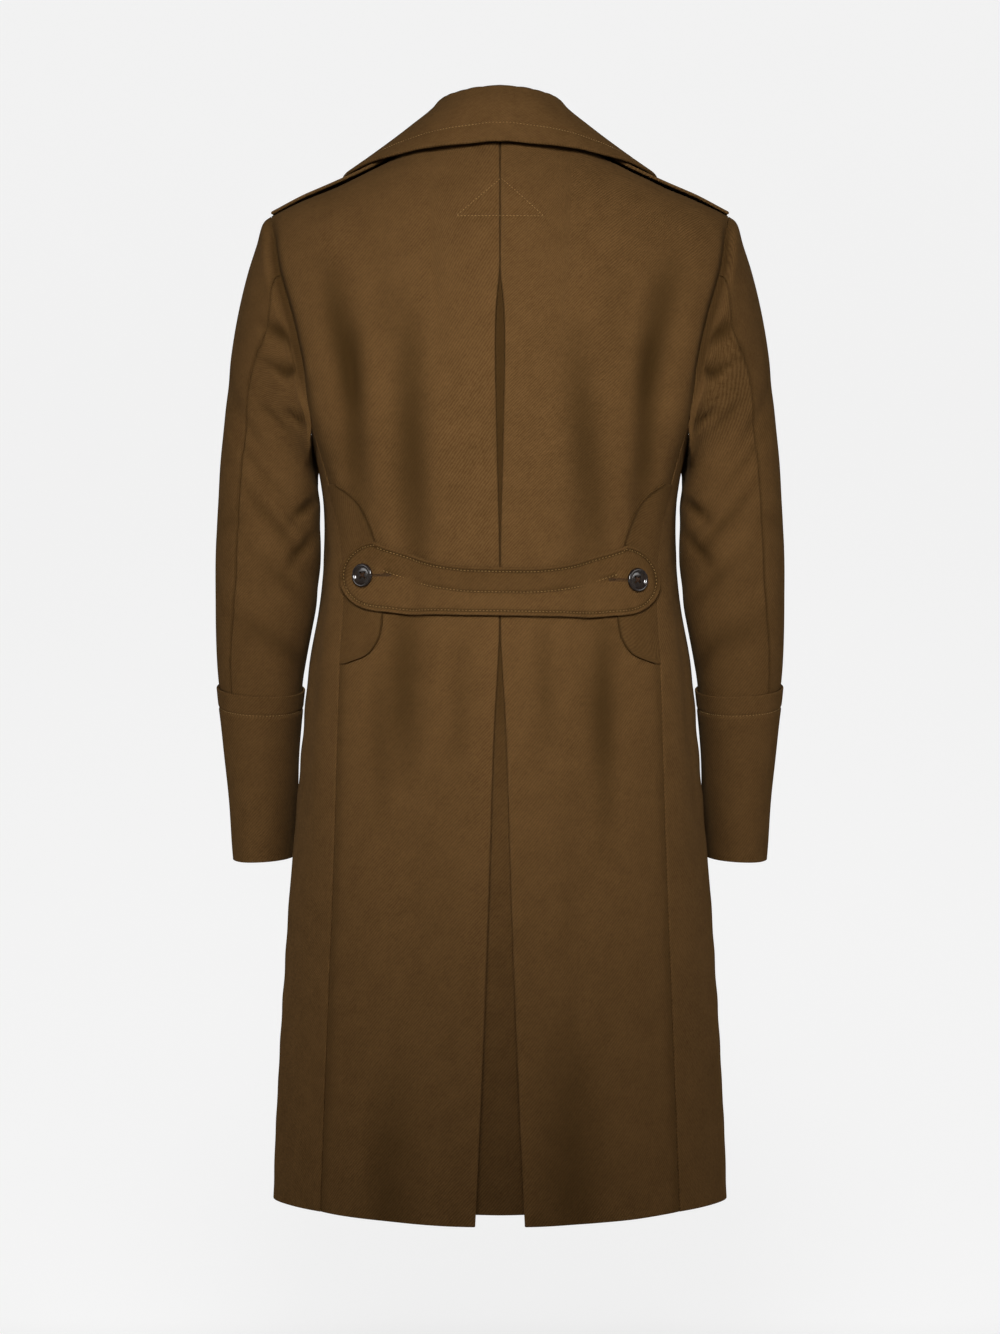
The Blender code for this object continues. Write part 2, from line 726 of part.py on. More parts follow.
def collar_base(share):
    """Foot of the collar's stand: along the back neckline, then down the front's roll line."""
    if share <= SHOULDER_SHARE:
        q = NECK_HALF / TIP_X * math.sin(share / SHOULDER_SHARE * math.pi / 2)
        row = float(neck_row(np.asarray(q)))
        return shell(BACK, q, row) + np.array((0.0, 0.0, COLLAR_LIFT))
    down = (share - SHOULDER_SHARE) / (1 - SHOULDER_SHARE)
    gorge_row = float(locate(FRONT, np.asarray(GORGE_X), np.asarray(GORGE_Z))[1])
    v = RIDGE_SHARE + (gorge_row - RIDGE_SHARE) * down
    x = front_edge_x(v) - COLLAR_WALL / 2 - LAY
    return shell(FRONT, x / float(row_edge(FRONT, v)), v) + np.array((0.0, 0.0, COLLAR_LIFT))


def make_collar(name, group):
    """Collar in one piece: stand, rolled fold and fall."""
    middle = []
    for step in range(1 - COLLAR_SECTIONS, COLLAR_SECTIONS):
        share = abs(step) / (COLLAR_SECTIONS - 1)
        side = -1.0 if step < 0 else 1.0
        fold = np.array([float(smooth(COLLAR, f"fold_{axis}", share)) for axis in "xyz"])
        edge_x, edge_y = (float(smooth(COLLAR, f"edge_{axis}", share)) for axis in "xy")
        lift = float(smooth(COLLAR, "edge_lift", share))
        edge = np.array((edge_x, edge_y, float(shoulder_height(edge_x, edge_y)) + lift))
        base = collar_base(share)
        away = unit((edge - base) * np.array((1.0, 1.0, 0.0)))
        low = np.array((0.0, 0.0, -COLLAR_ROLL))
        stand = fold - away * COLLAR_ROLL_WIDTH + low
        fall = fold + away * COLLAR_ROLL_WIDTH + low
        swell = COLLAR_SWELL * (1 - ease(share / SHOULDER_SHARE))
        bulge = (away + np.array((0.0, 0.0, 1.0))) * swell
        section = [base, (base + stand) / 2, stand, fold, fall]
        section += [fall + (edge - fall) * part + bulge * bow for part, bow in FALL_BOWS]
        section.append(edge)
        middle.append([point * np.array((side, 1.0, 1.0)) for point in section])
    return loft_about(name, np.array(middle), COLLAR_WALL, group)


def armhole():
    """Points round the right armhole from the shoulder tip down the back, under the arm and up the front,
    each with the direction in which the sleeve leaves it."""
    points, leave = [], []
    down_row = np.array(UPPER_ROWS[::-1])
    for face, rows in ((BACK, down_row), (FRONT, down_row[-1::-1])):
        edge = shell(face, np.ones_like(rows), rows)
        way = unit(edge - shell(face, np.full_like(rows, NEAR_EDGE), rows))
        corner = 0 if face == FRONT else len(rows) - 1
        way[corner] = unit(way[corner] + np.array((0.0, 0.0, 1.0)))
        if face == FRONT:
            shares = np.array(UNDERARM_SHARES)
            points += list(side_point(RIGHT, shares, underarm_height(shares), 0.0))
            leave += [np.array((0.0, 0.0, 1.0))] * len(shares)
            edge, way = edge[:-1], way[:-1]
        points += list(edge)
        leave += list(way)
    return np.array(points), np.array(leave)


def sleeve_angles():
    """Even angles of the armhole's points: 0 at the shoulder tip, 180 degrees under the arm."""
    points = armhole()[0]
    steps = np.linalg.norm(np.diff(np.concatenate([points, points[:1]]), axis=0), axis=1)
    travelled = np.concatenate([[0.0], np.cumsum(steps)])
    lowest = len(UPPER_ROWS) + len(UNDERARM_SHARES) / 2 - 0.5
    half = np.interp(lowest, np.arange(len(travelled)), travelled)
    whole = travelled[-1]
    back = math.pi * travelled[:-1] / half
    front = math.pi + math.pi * (travelled[:-1] - half) / (whole - half)
    return np.where(travelled[:-1] <= half, back, front)


def seam_columns():
    """Places in the armhole's points of the sleeve's back seam and front seam."""
    rows = len(UPPER_ROWS)
    back = rows - 1 - BACK_SEAM_ROW
    front = rows + len(UNDERARM_SHARES) + FRONT_SEAM_ROW
    return back, front


def sleeve_oval(angle, along):
    """Oval of the sleeve at a distance down the arm."""
    outer = np.stack([smooth(SLEEVE_RINGS, column, along) for column in ("outer_x", "outer_z")], axis=-1)
    inner = np.stack([smooth(SLEEVE_RINGS, column, along) for column in ("inner_x", "inner_z")], axis=-1)
    cosine = np.sign(np.cos(angle)) * np.abs(np.cos(angle)) ** (2 / SLEEVE_POWER)
    sine = np.sign(np.sin(angle)) * np.abs(np.sin(angle)) ** (2 / SLEEVE_POWER)
    flat = (outer + inner) / 2 + (outer - inner) / 2 * cosine[..., None]
    forward = -smooth(SLEEVE_RINGS, "half_depth", along) * sine
    y = smooth(SLEEVE_RINGS, "centre_y", along) + forward
    z = flat[..., 1] + smooth(SLEEVE_RINGS, "lean", along) * forward
    return np.stack([flat[..., 0], y, z], axis=-1)


def turned_angle(angle, along):
    """Angles moved round so that the back seam follows its line down the sleeve."""
    start = sleeve_angles()[seam_columns()[0]]
    end = sleeve_angles()[seam_columns()[1]]
    seam = np.radians(smooth(BACK_SEAM_ANGLE, "degrees", along))
    upper = angle * seam / start
    under = seam + (angle - start) * (end - seam) / (end - start)
    return np.where(angle <= start, upper, np.where(angle <= end, under, angle))


def sleeve_fold(angle, along):
    """How far the elbow creases pull the sleeve in."""
    depth = np.zeros_like(angle)
    for centre, degrees, half_along, half_degrees, slant, deep in SLEEVE_FOLDS:
        turn = np.degrees(angle) - degrees
        down = (along - centre - slant * turn) / half_along
        depth += deep * np.exp(-down * down - (turn / half_degrees) ** 2)
    return depth


def sleeve_grid(columns, rows):
    """Outer and inner points of right-sleeve columns at rows down the arm."""
    points, leave = armhole()
    start = points + leave * SLEEVE_SEAM
    angles = sleeve_angles()
    top = np.zeros_like(angles)
    spare = start - sleeve_oval(turned_angle(angles, top), top)

    def surface(angle, along, extra):
        turned = turned_angle(angle, along)
        fade = 1 - ease(along / SLEEVE_BLEND)
        return sleeve_oval(turned, along) + extra * fade[..., None]

    along, angle = np.meshgrid(np.array(rows), angles, indexing="ij")
    extra = np.broadcast_to(spare, along.shape + (3,))
    plain = surface(angle, along, extra)
    around = np.roll(plain, -1, axis=1) - np.roll(plain, 1, axis=1)
    down = np.gradient(plain, axis=0)
    normals = unit(np.cross(around, down))
    normals[0] = unit(normals[0] - leave * np.sum(normals[0] * leave, axis=-1, keepdims=True))
    away = plain - plain.mean(axis=1, keepdims=True)
    normals *= np.sign(np.sum(normals * away, axis=(1, 2)))[:, None, None]
    outer = plain - normals * sleeve_fold(angle, along)[..., None]
    return outer[:, columns], (outer - normals * WALL)[:, columns]


def part_seams(grid):
    """Grid with its first and last columns drawn in by half a seam's gap."""
    drawn = grid.copy()
    for edge, beside in ((0, 1), (-1, -2)):
        way = unit(grid[:, beside] - grid[:, edge])
        drawn[:, edge] = grid[:, edge] + way * SLEEVE_SEAM / 2
    return drawn


def mirrored(points, side):
    """Right-hand points moved to a side of the coat."""
    return points * np.array((side, 1.0, 1.0))


def make_sleeve(name, side, upper, group):
    """Top or under piece of a two-piece sleeve."""
    back, front = seam_columns()
    count = len(armhole()[0])
    if upper:
        columns = [index % count for index in range(front, count + back + 1)]
    else:
        columns = list(range(back, front + 1))
    outer, inner = sleeve_grid(columns, SLEEVE_ROWS)
    return loft(name, mirrored(part_seams(outer), side), mirrored(part_seams(inner), side), group)


def make_cuff(name, side, group):
    """Deep turn-back cuff, a tube round the end of the sleeve."""
    angle = np.linspace(0, 2 * math.pi, CUFF_SIDES, endpoint=False)
    middle = []
    for along in CUFF_ROWS:
        place = np.full_like(angle, along)
        oval = sleeve_oval(angle, place)
        centre = oval.mean(axis=0)
        flare = CUFF_FLARE * ease((CUFF_PLAIN - along) / (CUFF_PLAIN - CUFF_ROWS[0]))
        out = unit((oval - centre) * np.array((1.0, 1.0, 0.0))) * (2 * LAY + CUFF_WALL / 2 + flare)
        middle.append(oval + out)
    return loft_about(name, mirrored(np.array(middle), side), CUFF_WALL, group, ring=True)


def make_strap(name, side, group):
    """Shoulder strap along the ridge, from the sleeve seam to under the collar."""
    middle = []
    for share in np.linspace(0, 1, STRAP_ROWS):
        x = TIP_X - 2 * SEAM + (STRAP_NECK_X - TIP_X) * share
        half = STRAP_HALF * (1 - STRAP_TAPER * share)
        lift = STRAP_SEWN_LIFT + (STRAP_LIFT - STRAP_SEWN_LIFT) * ease(share / STRAP_RISE_SHARE)
        y = half * np.linspace(-1, 1, STRAP_COLUMNS)
        top = shoulder_height(np.full_like(y, x), np.zeros_like(y))
        bent = shoulder_height(np.full_like(y, x), y)
        height = top + STRAP_BEND * (bent - top) + lift
        middle.append(np.stack([np.full_like(y, x), y, height], axis=-1))
    return loft_about(name, mirrored(np.array(middle), side), STRAP_WALL, group)


def belt_height(x, share):
    """Height on the half belt at x, from its bottom edge (0) to its top edge (1)."""
    bottom = smooth(BELT_OUTLINE, "bottom", np.abs(x))
    top = smooth(BELT_OUTLINE, "top", np.abs(x))
    return bottom + (top - bottom) * share - BELT_TILT * x


def make_belt(name, group):
    """Half belt over the waist of the back, with rounded ends."""
    x = np.array([-column for column in BELT_COLUMNS[:0:-1]] + list(BELT_COLUMNS))
    shares = np.linspace(0, 1, BELT_BANDS + 1)
    outer = np.array([on_body(BACK, x, belt_height(x, share), BELT_OUT + BELT_WALL) for share in shares])
    inner = np.array([on_body(BACK, x, belt_height(x, share), BELT_OUT) for share in shares])
    return loft(name, outer, inner, group)


def make_patch(name, side, group):
    """Half-round patch that carries an end of the half belt."""
    outer, inner = [], []
    for share in np.linspace(0, 1, PATCH_ROWS):
        seam_z = PATCH_TOP + (PATCH_BOTTOM - PATCH_TOP) * share
        seam_x = float(row_edge(BACK, seam_z - UNDERARM)) - SEAM
        across = np.linspace(0, 1, PATCH_COLUMNS)
        x = seam_x + (float(smooth(PATCH_EDGE, "x", share)) - seam_x) * across
        z = seam_z + (float(smooth(PATCH_EDGE, "height", share)) - seam_z) * across
        outer.append(on_body(BACK, side * x, z, LOOSE_LAY + PATCH_WALL))
        inner.append(on_body(BACK, side * x, z, LOOSE_LAY))
    return loft(name, np.array(outer), np.array(inner), group)


def make_button(name, face, x, z, out, radius, height, group):
    """Turned button with a raised rim, lying on the cloth."""
    profile = [(radius * across, height * up) for across, up in BUTTON_PROFILE]
    profile = [(0.0, profile[0][1])] + profile + [(0.0, 0.0)]
    mesh = bpy.data.meshes.new(name)
    edges = [(index, index + 1) for index in range(len(profile) - 1)]
    mesh.from_pydata([(across, 0.0, up) for across, up in profile], edges, [])
    part = add_part(name, mesh, HORN, group)
    turn = part.modifiers.new("turned", "SCREW")
    turn.steps = BUTTON_SIDES
    turn.render_steps = BUTTON_SIDES
    turn.use_merge_vertices = True
    turn.merge_threshold = BUTTON_MERGE
    q, v = locate(face, np.asarray(x), np.asarray(z))
    part.location = Vector(on_body(face, x, z, out))
    part.rotation_mode = "QUATERNION"
    part.rotation_quaternion = Vector(outward(face, q, v)).to_track_quat("Z", "Y")
    return part


def make_buttons(group):
    """Half-belt buttons and the two front columns."""
    for label, side in (("left", LEFT), ("right", RIGHT)):
        x = side * BELT_BUTTON_X
        make_button(
            f"belt_button_{label}",
            BACK,
            x,
            BELT_BUTTON_Z - BELT_TILT * x,
            BELT_OUT + BELT_WALL + LAY,
            BELT_BUTTON_RADIUS,
            BELT_BUTTON_HEIGHT,
            group,
        )
        for row, height in FRONT_BUTTON_ROWS.items():
            make_button(
                f"front_button_{row}_{label}",
                FRONT,
                side * FRONT_BUTTON_X,
                height,
                LAY,
                FRONT_BUTTON_RADIUS,
                FRONT_BUTTON_HEIGHT,
                group,
            )


def main():
    """Clear the scene and make every piece of the coat."""
    for old in list(bpy.data.objects):
        bpy.data.objects.remove(old, do_unlink=True)
    group = bpy.data.collections.new("double_breasted_coat")
    bpy.context.scene.collection.children.link(group)
    make_underlay("pleat_underlay", group)
    make_collar("collar", group)
    make_belt("half_belt", group)
    for label, side in (("left", LEFT), ("right", RIGHT)):
        make_back(f"back_{label}", side, group)
        make_side(f"side_{label}", side, group)
        make_front(f"front_{label}", side, group)
        make_lapel(f"lapel_{label}", side, group)
        make_sleeve(f"sleeve_top_{label}", side, True, group)
        make_sleeve(f"sleeve_under_{label}", side, False, group)
        make_cuff(f"cuff_{label}", side, group)
        make_strap(f"shoulder_strap_{label}", side, group)
        make_patch(f"belt_patch_{label}", side, group)
    make_buttons(group)


main()
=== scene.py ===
"""Looks of a double-breasted overcoat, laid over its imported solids.

Every panel is a fine wall of cloth on its solid's form, with turned edges and creases of its own. Stitches,
worked buttonholes, horn buttons and a plain studio are added. Metres, +Z up, in the solids' own frame:
+Y is the coat's front and +X its right side. A point of the body is found from q, the share of the way
from the centre line to the side seam or armhole, and v, the height under the underarm line or, above
that line, the share of the way up to the shoulder ridge.
"""

import math

import bpy
import numpy as np
from bpy.props import FloatProperty, FloatVectorProperty, PointerProperty
from bpy.types import Operator, Panel, PropertyGroup
from mathutils import Matrix, Vector


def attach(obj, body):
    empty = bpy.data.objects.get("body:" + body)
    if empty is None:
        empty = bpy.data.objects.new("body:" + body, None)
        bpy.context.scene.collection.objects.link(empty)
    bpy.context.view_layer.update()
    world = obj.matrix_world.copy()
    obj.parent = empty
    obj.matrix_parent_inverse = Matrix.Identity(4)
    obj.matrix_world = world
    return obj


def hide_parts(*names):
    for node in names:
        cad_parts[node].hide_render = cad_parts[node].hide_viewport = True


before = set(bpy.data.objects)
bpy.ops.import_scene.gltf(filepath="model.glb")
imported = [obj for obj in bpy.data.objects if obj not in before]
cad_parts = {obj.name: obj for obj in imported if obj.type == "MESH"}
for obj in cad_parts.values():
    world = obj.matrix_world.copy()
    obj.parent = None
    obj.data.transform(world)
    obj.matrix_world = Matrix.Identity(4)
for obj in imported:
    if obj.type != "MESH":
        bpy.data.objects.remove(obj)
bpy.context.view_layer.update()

bl_info = {
    "name": "Double-breasted overcoat",
    "version": (1, 0, 0),
    "blender": (4, 5, 0),
    "location": "View3D > Sidebar > Overcoat",
    "description": "Cloth, stitching, buttons and studio for a worn double-breasted overcoat",
    "category": "Object",
}

UP = np.array((0.0, 0.0, 1.0))
FORWARD = np.array((0.0, 1.0, 0.0))
LEVEL = np.array((1.0, 1.0, 0.0))

# Walls and the spaces between pieces
WALL = 0.0020
COLLAR_WALL = 0.0036
LAPEL_WALL = 0.0026
CUFF_WALL = 0.0026
STRAP_WALL = 0.0032
PATCH_WALL = 0.0014
BELT_WALL = 0.0032
SEAM = 0.0003
SLEEVE_SEAM = 0.0005
LAY = 0.0006

# Body of the coat
BACK, FRONT = -1, 1
LEFT, RIGHT = -1, 1
HEM = -1.050
UNDERARM = -0.280
TIP_X = 0.228
TIP_Z = -0.067
RIDGE_SHARE = 0.9997
HIGHEST_SHARE = 0.99
SETTLE_STEPS = 25
ARCH = 2 / 2.4
FRONT_POWER = 2.3
HEM_RISE = 0.004
UNDERARM_DIP = 0.022
STEP = 1e-3
SIDE_INSET = 0.0015
BODY_RINGS = (
    ("height", "half_width", "back_depth", "front_depth", "back_power"),
    (-1.050, 0.2250, 0.198, 0.178, 1.85),
    (-0.880, 0.2170, 0.186, 0.171, 1.95),
    (-0.705, 0.2075, 0.171, 0.163, 2.10),
    (-0.600, 0.1990, 0.155, 0.157, 2.25),
    (-0.500, 0.1885, 0.136, 0.152, 2.45),
    (-0.440, 0.1785, 0.124, 0.149, 2.50),
    (-0.380, 0.1750, 0.127, 0.150, 2.70),
    (-0.330, 0.1790, 0.132, 0.151, 3.60),
    (-0.280, 0.1900, 0.136, 0.152, 5.50),
)
DEPTH_COLUMN = {BACK: "back_depth", FRONT: "front_depth"}
PANEL_EDGE = {
    BACK: (
        ("height", "half_width"),
        (-1.050, 0.1750),
        (-0.900, 0.1695),
        (-0.700, 0.1620),
        (-0.520, 0.1570),
        (-0.440, 0.1535),
        (-0.383, 0.1580),
        (-0.339, 0.1680),
        (-0.280, 0.1835),
        (-0.240, 0.1930),
        (-0.180, 0.2060),
        (-0.120, 0.2220),
        (-0.067, 0.2280),
    ),
    FRONT: (
        ("height", "half_width"),
        (-1.050, 0.2010),
        (-0.880, 0.1935),
        (-0.705, 0.1855),
        (-0.600, 0.1780),
        (-0.500, 0.1685),
        (-0.440, 0.1595),
        (-0.380, 0.1560),
        (-0.330, 0.1580),
        (-0.280, 0.1630),
        (-0.240, 0.1680),
        (-0.180, 0.1830),
        (-0.120, 0.2080),
        (-0.067, 0.2280),
    ),
}
SHOULDER_RIDGE = (
    ("x", "height"),
    (-0.075, 0.007),
    (0.000, 0.034),
    (0.075, 0.007),
    (0.110, -0.013),
    (0.155, -0.035),
    (0.208, -0.058),
    (0.228, -0.067),
)
NECK_HALF = 0.0705
NECK_BACK = 0.070

# Inverted pleat of the back
PLEAT_RETURN = 0.045
PLEAT_TURN = 0.0011
PLEAT_SPREAD = 1.3
UNDERLAY_RISE = 0.009
PLEAT_OPENING = (
    ("height", "half_opening"),
    (-1.050, 0.0238),
    (-0.940, 0.0187),
    (-0.837, 0.0144),
    (-0.727, 0.0104),
    (-0.576, 0.0055),
    (-0.475, 0.0004),
    (-0.420, 0.0004),
    (-0.370, 0.0012),
    (-0.320, 0.0026),
    (-0.245, 0.0040),
    (-0.190, 0.0047),
    (-0.135, 0.0040),
    (-0.085, 0.0003),
    (0.040, 0.0003),
)

# Soft folds of the hanging cloth, depths below the surface, fading out at the side seams
FOLD_FADE = 8
BODY_FOLDS = {
    BACK: (
        # x_top, z_top, x_low, z_low, half_width, depth
        (-0.159, -0.090, -0.137, -0.440, 0.016, 0.0084),
        (-0.084, -0.170, -0.092, -0.600, 0.018, 0.0080),
        (0.083, -0.200, 0.090, -0.560, 0.018, 0.0080),
        (0.163, -0.090, 0.139, -0.450, 0.016, 0.0086),
        (-0.098, -0.540, -0.092, -0.860, 0.022, 0.0056),
        (0.086, -0.540, 0.078, -0.960, 0.022, 0.0062),
        (-0.048, -0.500, -0.052, -1.150, 0.026, -0.0044),
        (0.046, -0.500, 0.050, -1.150, 0.024, -0.0040),
        (0.128, -0.560, 0.126, -1.150, 0.024, -0.0040),
    ),
    FRONT: (
        # x_top, z_top, x_low, z_low, half_width, depth
        (-0.128, -0.200, -0.120, -0.460, 0.020, 0.0045),
        (0.130, -0.200, 0.118, -0.460, 0.020, 0.0045),
        (-0.125, -0.470, -0.135, -1.000, 0.024, 0.0055),
        (0.135, -0.460, 0.140, -0.950, 0.024, 0.0055),
        (-0.060, -0.640, -0.070, -1.150, 0.026, -0.0040),
    ),
}

# Double-breasted closing and lapels, on the coat's own side of the centre line
LAP = 0.100
UNDER_DEPTH = 0.0095
UNDER_MARGIN = 0.006
UNDER_SLOPE = 0.070
BREAK_Z = -0.297
GORGE_X = 0.058
GORGE_Z = -0.012
ROLL_REACH = 1.15
LAPEL_TOP_Z = -0.020
LAPEL_LAY = 0.0027
LAPEL_BULGE = 0.0020
LAPEL_EDGE = (
    ("share", "x", "height"),
    (0.00, 0.152, -0.074),
    (0.12, 0.149, -0.102),
    (0.35, 0.120, -0.150),
    (0.60, 0.066, -0.208),
    (0.85, -0.016, -0.266),
    (1.00, -0.082, -0.297),
)

# Collar from the centre back to its front end
COLLAR_LIFT = 0.0014
COLLAR_ROLL = 0.0046
COLLAR_ROLL_WIDTH = 0.9 * COLLAR_ROLL
COLLAR_SWELL = 0.004
FALL_BOWS = (
    # share of the fall, share of the swell
    (0.34, 1.0),
    (0.68, 0.9),
)
SHOULDER_SHARE = 0.60
COLLAR = (
    ("share", "fold_x", "fold_y", "fold_z", "edge_x", "edge_y", "edge_lift"),
    (0.00, 0.000, -0.066, 0.0538, 0.000, -0.088, 0.0148),
    (0.11, 0.014, -0.064, 0.0532, 0.028, -0.085, 0.0132),
    (0.22, 0.028, -0.059, 0.0520, 0.055, -0.079, 0.0138),
    (0.32, 0.039, -0.049, 0.0506, 0.076, -0.068, 0.0104),
    (0.42, 0.049, -0.038, 0.0490, 0.096, -0.054, 0.0080),
    (0.60, 0.061, -0.008, 0.0450, 0.133, -0.020, 0.0098),
    (0.78, 0.067, 0.024, 0.0350, 0.157, 0.018, 0.0116),
    (1.00, 0.062, 0.066, 0.0080, 0.150, 0.072, 0.0100),
)

# Sleeves, laid out for the right side
SLEEVE_RINGS = (
    ("along", "outer_x", "outer_z", "inner_x", "inner_z", "centre_y", "half_depth", "lean"),
    (0.000, 0.2280, -0.0670, 0.1825, -0.3020, 0.002, 0.070, 0.00),
    (0.014, 0.2350, -0.0735, 0.1838, -0.3090, 0.002, 0.072, 0.00),
    (0.035, 0.2413, -0.0945, 0.1838, -0.3130, 0.002, 0.072, 0.00),
    (0.060, 0.2500, -0.1200, 0.1838, -0.3170, 0.002, 0.071, 0.00),
    (0.120, 0.2630, -0.1740, 0.1822, -0.3270, 0.001, 0.068, 0.00),
    (0.190, 0.2725, -0.2400, 0.1812, -0.3430, 0.000, 0.065, 0.00),
    (0.265, 0.2785, -0.3100, 0.1792, -0.3740, -0.002, 0.063, 0.00),
    (0.335, 0.2828, -0.3800, 0.1796, -0.4130, -0.001, 0.062, 0.03),
    (0.400, 0.2850, -0.4450, 0.1832, -0.4600, 0.007, 0.062, 0.08),
    (0.465, 0.2842, -0.5050, 0.1950, -0.5120, 0.021, 0.061, 0.13),
    (0.530, 0.2790, -0.5700, 0.2032, -0.5720, 0.037, 0.060, 0.14),
    (0.600, 0.2718, -0.6400, 0.2078, -0.6390, 0.053, 0.059, 0.09),
    (0.668, 0.2678, -0.7120, 0.2120, -0.7090, 0.066, 0.058, 0.04),
)
SLEEVE_POWER = 2.2
SLEEVE_BLEND = 0.22
NEAR_EDGE = 0.998
BACK_SEAM_ANGLE = (
    ("along", "degrees"),
    (0.000, 60.0),
    (0.030, 66.5),
    (0.070, 70.5),
    (0.100, 66.5),
    (0.140, 62.2),
    (0.190, 60.0),
    (0.270, 58.8),
    (0.330, 58.3),
    (0.400, 56.1),
    (0.470, 52.5),
    (0.668, 54.0),
)
SLEEVE_FOLDS = (
    # along, degrees, half_along, half_degrees, slant, depth
    (0.215, 60.0, 0.020, 50.0, 0.0005, 0.0045),
    (0.270, 105.0, 0.020, 45.0, 0.0006, 0.0055),
    (0.340, 130.0, 0.022, 45.0, 0.0006, 0.0055),
    (0.395, 95.0, 0.022, 55.0, 0.0004, 0.0035),
    (0.300, 280.0, 0.024, 55.0, -0.0006, 0.0055),
    (0.365, 265.0, 0.024, 55.0, -0.0005, 0.0055),
    (0.160, 300.0, 0.030, 45.0, 0.0006, 0.0040),
)

# Shoulder straps
STRAP_SEWN_LIFT = 0.0024
STRAP_LIFT = 0.0046
STRAP_HALF = 0.026
STRAP_TAPER = 0.18
STRAP_BEND = 0.62
STRAP_RISE_SHARE = 1 / 3
STRAP_NECK_X = 0.112

# Half belt with its patches
BELT_OUT = 0.0036
BELT_TILT = 0.018
BELT_OUTLINE = (
    ("x", "top", "bottom"),
    (0.000, -0.4200, -0.4685),
    (0.040, -0.4190, -0.4685),
    (0.075, -0.4130, -0.4680),
    (0.105, -0.4030, -0.4665),
    (0.125, -0.3960, -0.4650),
    (0.138, -0.3960, -0.4610),
    (0.147, -0.4050, -0.4500),
    (0.153, -0.4220, -0.4350),
)
PATCH_TOP = -0.338
PATCH_BOTTOM = -0.514
PATCH_EDGE = (
    ("share", "x", "height"),
    (0.00, 0.1600, -0.3380),
    (0.12, 0.1480, -0.3490),
    (0.26, 0.1345, -0.3650),
    (0.42, 0.1215, -0.3930),
    (0.58, 0.1155, -0.4300),
    (0.74, 0.1135, -0.4680),
    (0.86, 0.1190, -0.4930),
    (0.94, 0.1310, -0.5070),
    (1.00, 0.1500, -0.5140),
)

# Buttons
BELT_BUTTON_RADIUS = 0.0115
BELT_BUTTON_HEIGHT = 0.0042
BELT_BUTTON_X = 0.1295
BELT_BUTTON_Z = -0.4300
FRONT_BUTTON_RADIUS = 0.0150
FRONT_BUTTON_HEIGHT = 0.0050
FRONT_BUTTON_X = 0.070
FRONT_BUTTON_ROWS = {"top": -0.340, "middle": -0.455, "low": -0.570}

# Lines of the fine cloth grids, across and along
LOWER_LINES = 150
UPPER_LINES = 41
BACK_LINES = 66
RETURN_LINES = 8
TURN_LINES = 9
UNDERLAY_LINES = 32
SIDE_LINES = 44
FRONT_LINES = 96
LAPEL_LINES = 72
LAPEL_FALL_LINES = 36
ROLL_LINES = 8
COLLAR_LINES = 56
COLLAR_SECTION_LINES = 44
SLEEVE_LINES = 160
UNDERARM_LINES = 14
CUFF_LINES = 124
CUFF_SIDES = 110
STRAP_LINES = 44
STRAP_SECTION_LINES = 28
BELT_LINES = 190
PATCH_LINES = 64
PATCH_SECTION_LINES = 28
EDGE_TURNS = (0, 35, 62, 84)
EDGE_ROOM = 0.8
BACK_CROWDING = 1.5
SLEEVE_CROWDING = 1.3

# Places of seams round the armhole
BACK_SEAM_V = 0.46
FRONT_SEAM_V = 0.10
HEM_BAND = 0.10
DIP_BAND = 0.08
SIDES = (("left", LEFT), ("right", RIGHT))

# Slight unevenness of hanging cloth
RIPPLES = 7
RIPPLE_DEPTH = 0.0011
RIPPLE_LENGTH = (0.035, 0.120)
SIDE_SEED = 5
SIDE_WIDTH = 0.16
SLEEVE_SEED = 9
SLEEVE_REACH = 0.06
SLEEVE_SEWN = 0.008
CUFF_SEWN = 0.03

# Rolled and tucked seams
SEAM_DEPTH = 0.0007
SEAM_REACH = 0.0070
ARMHOLE_ROLL = 0.0050
ARMHOLE_REACH = 0.0055
ARMHOLE_RISE = 0.15
ARMHOLE_FADE = 0.40
SLEEVE_ROLL_REACH = 0.0140
TUCK_BEND = 0.010
TUCK_TAIL = 0.016
TUCK_SINK = 0.0026
TUCK_LINES = 5

# Painted shade in creases, beside seams, in the pleat's gap, on the patches and on the belt, from 0 on open
# cloth to 1
HOLLOW_DEPTH = 0.0042
SEAM_SHADE = 0.45
ARMHOLE_SHADE = 0.70
UNDERLAY_SHADE = 0.03
GAP_SHADE = 0.85
GAP_LOW = -0.72
GAP_FADE = 0.26
PATCH_SHADE = 0.34
PATCH_EDGE_SHADE = 0.95
BELT_SHADE = 0.10
BELT_TOP_SHADE = 0.22
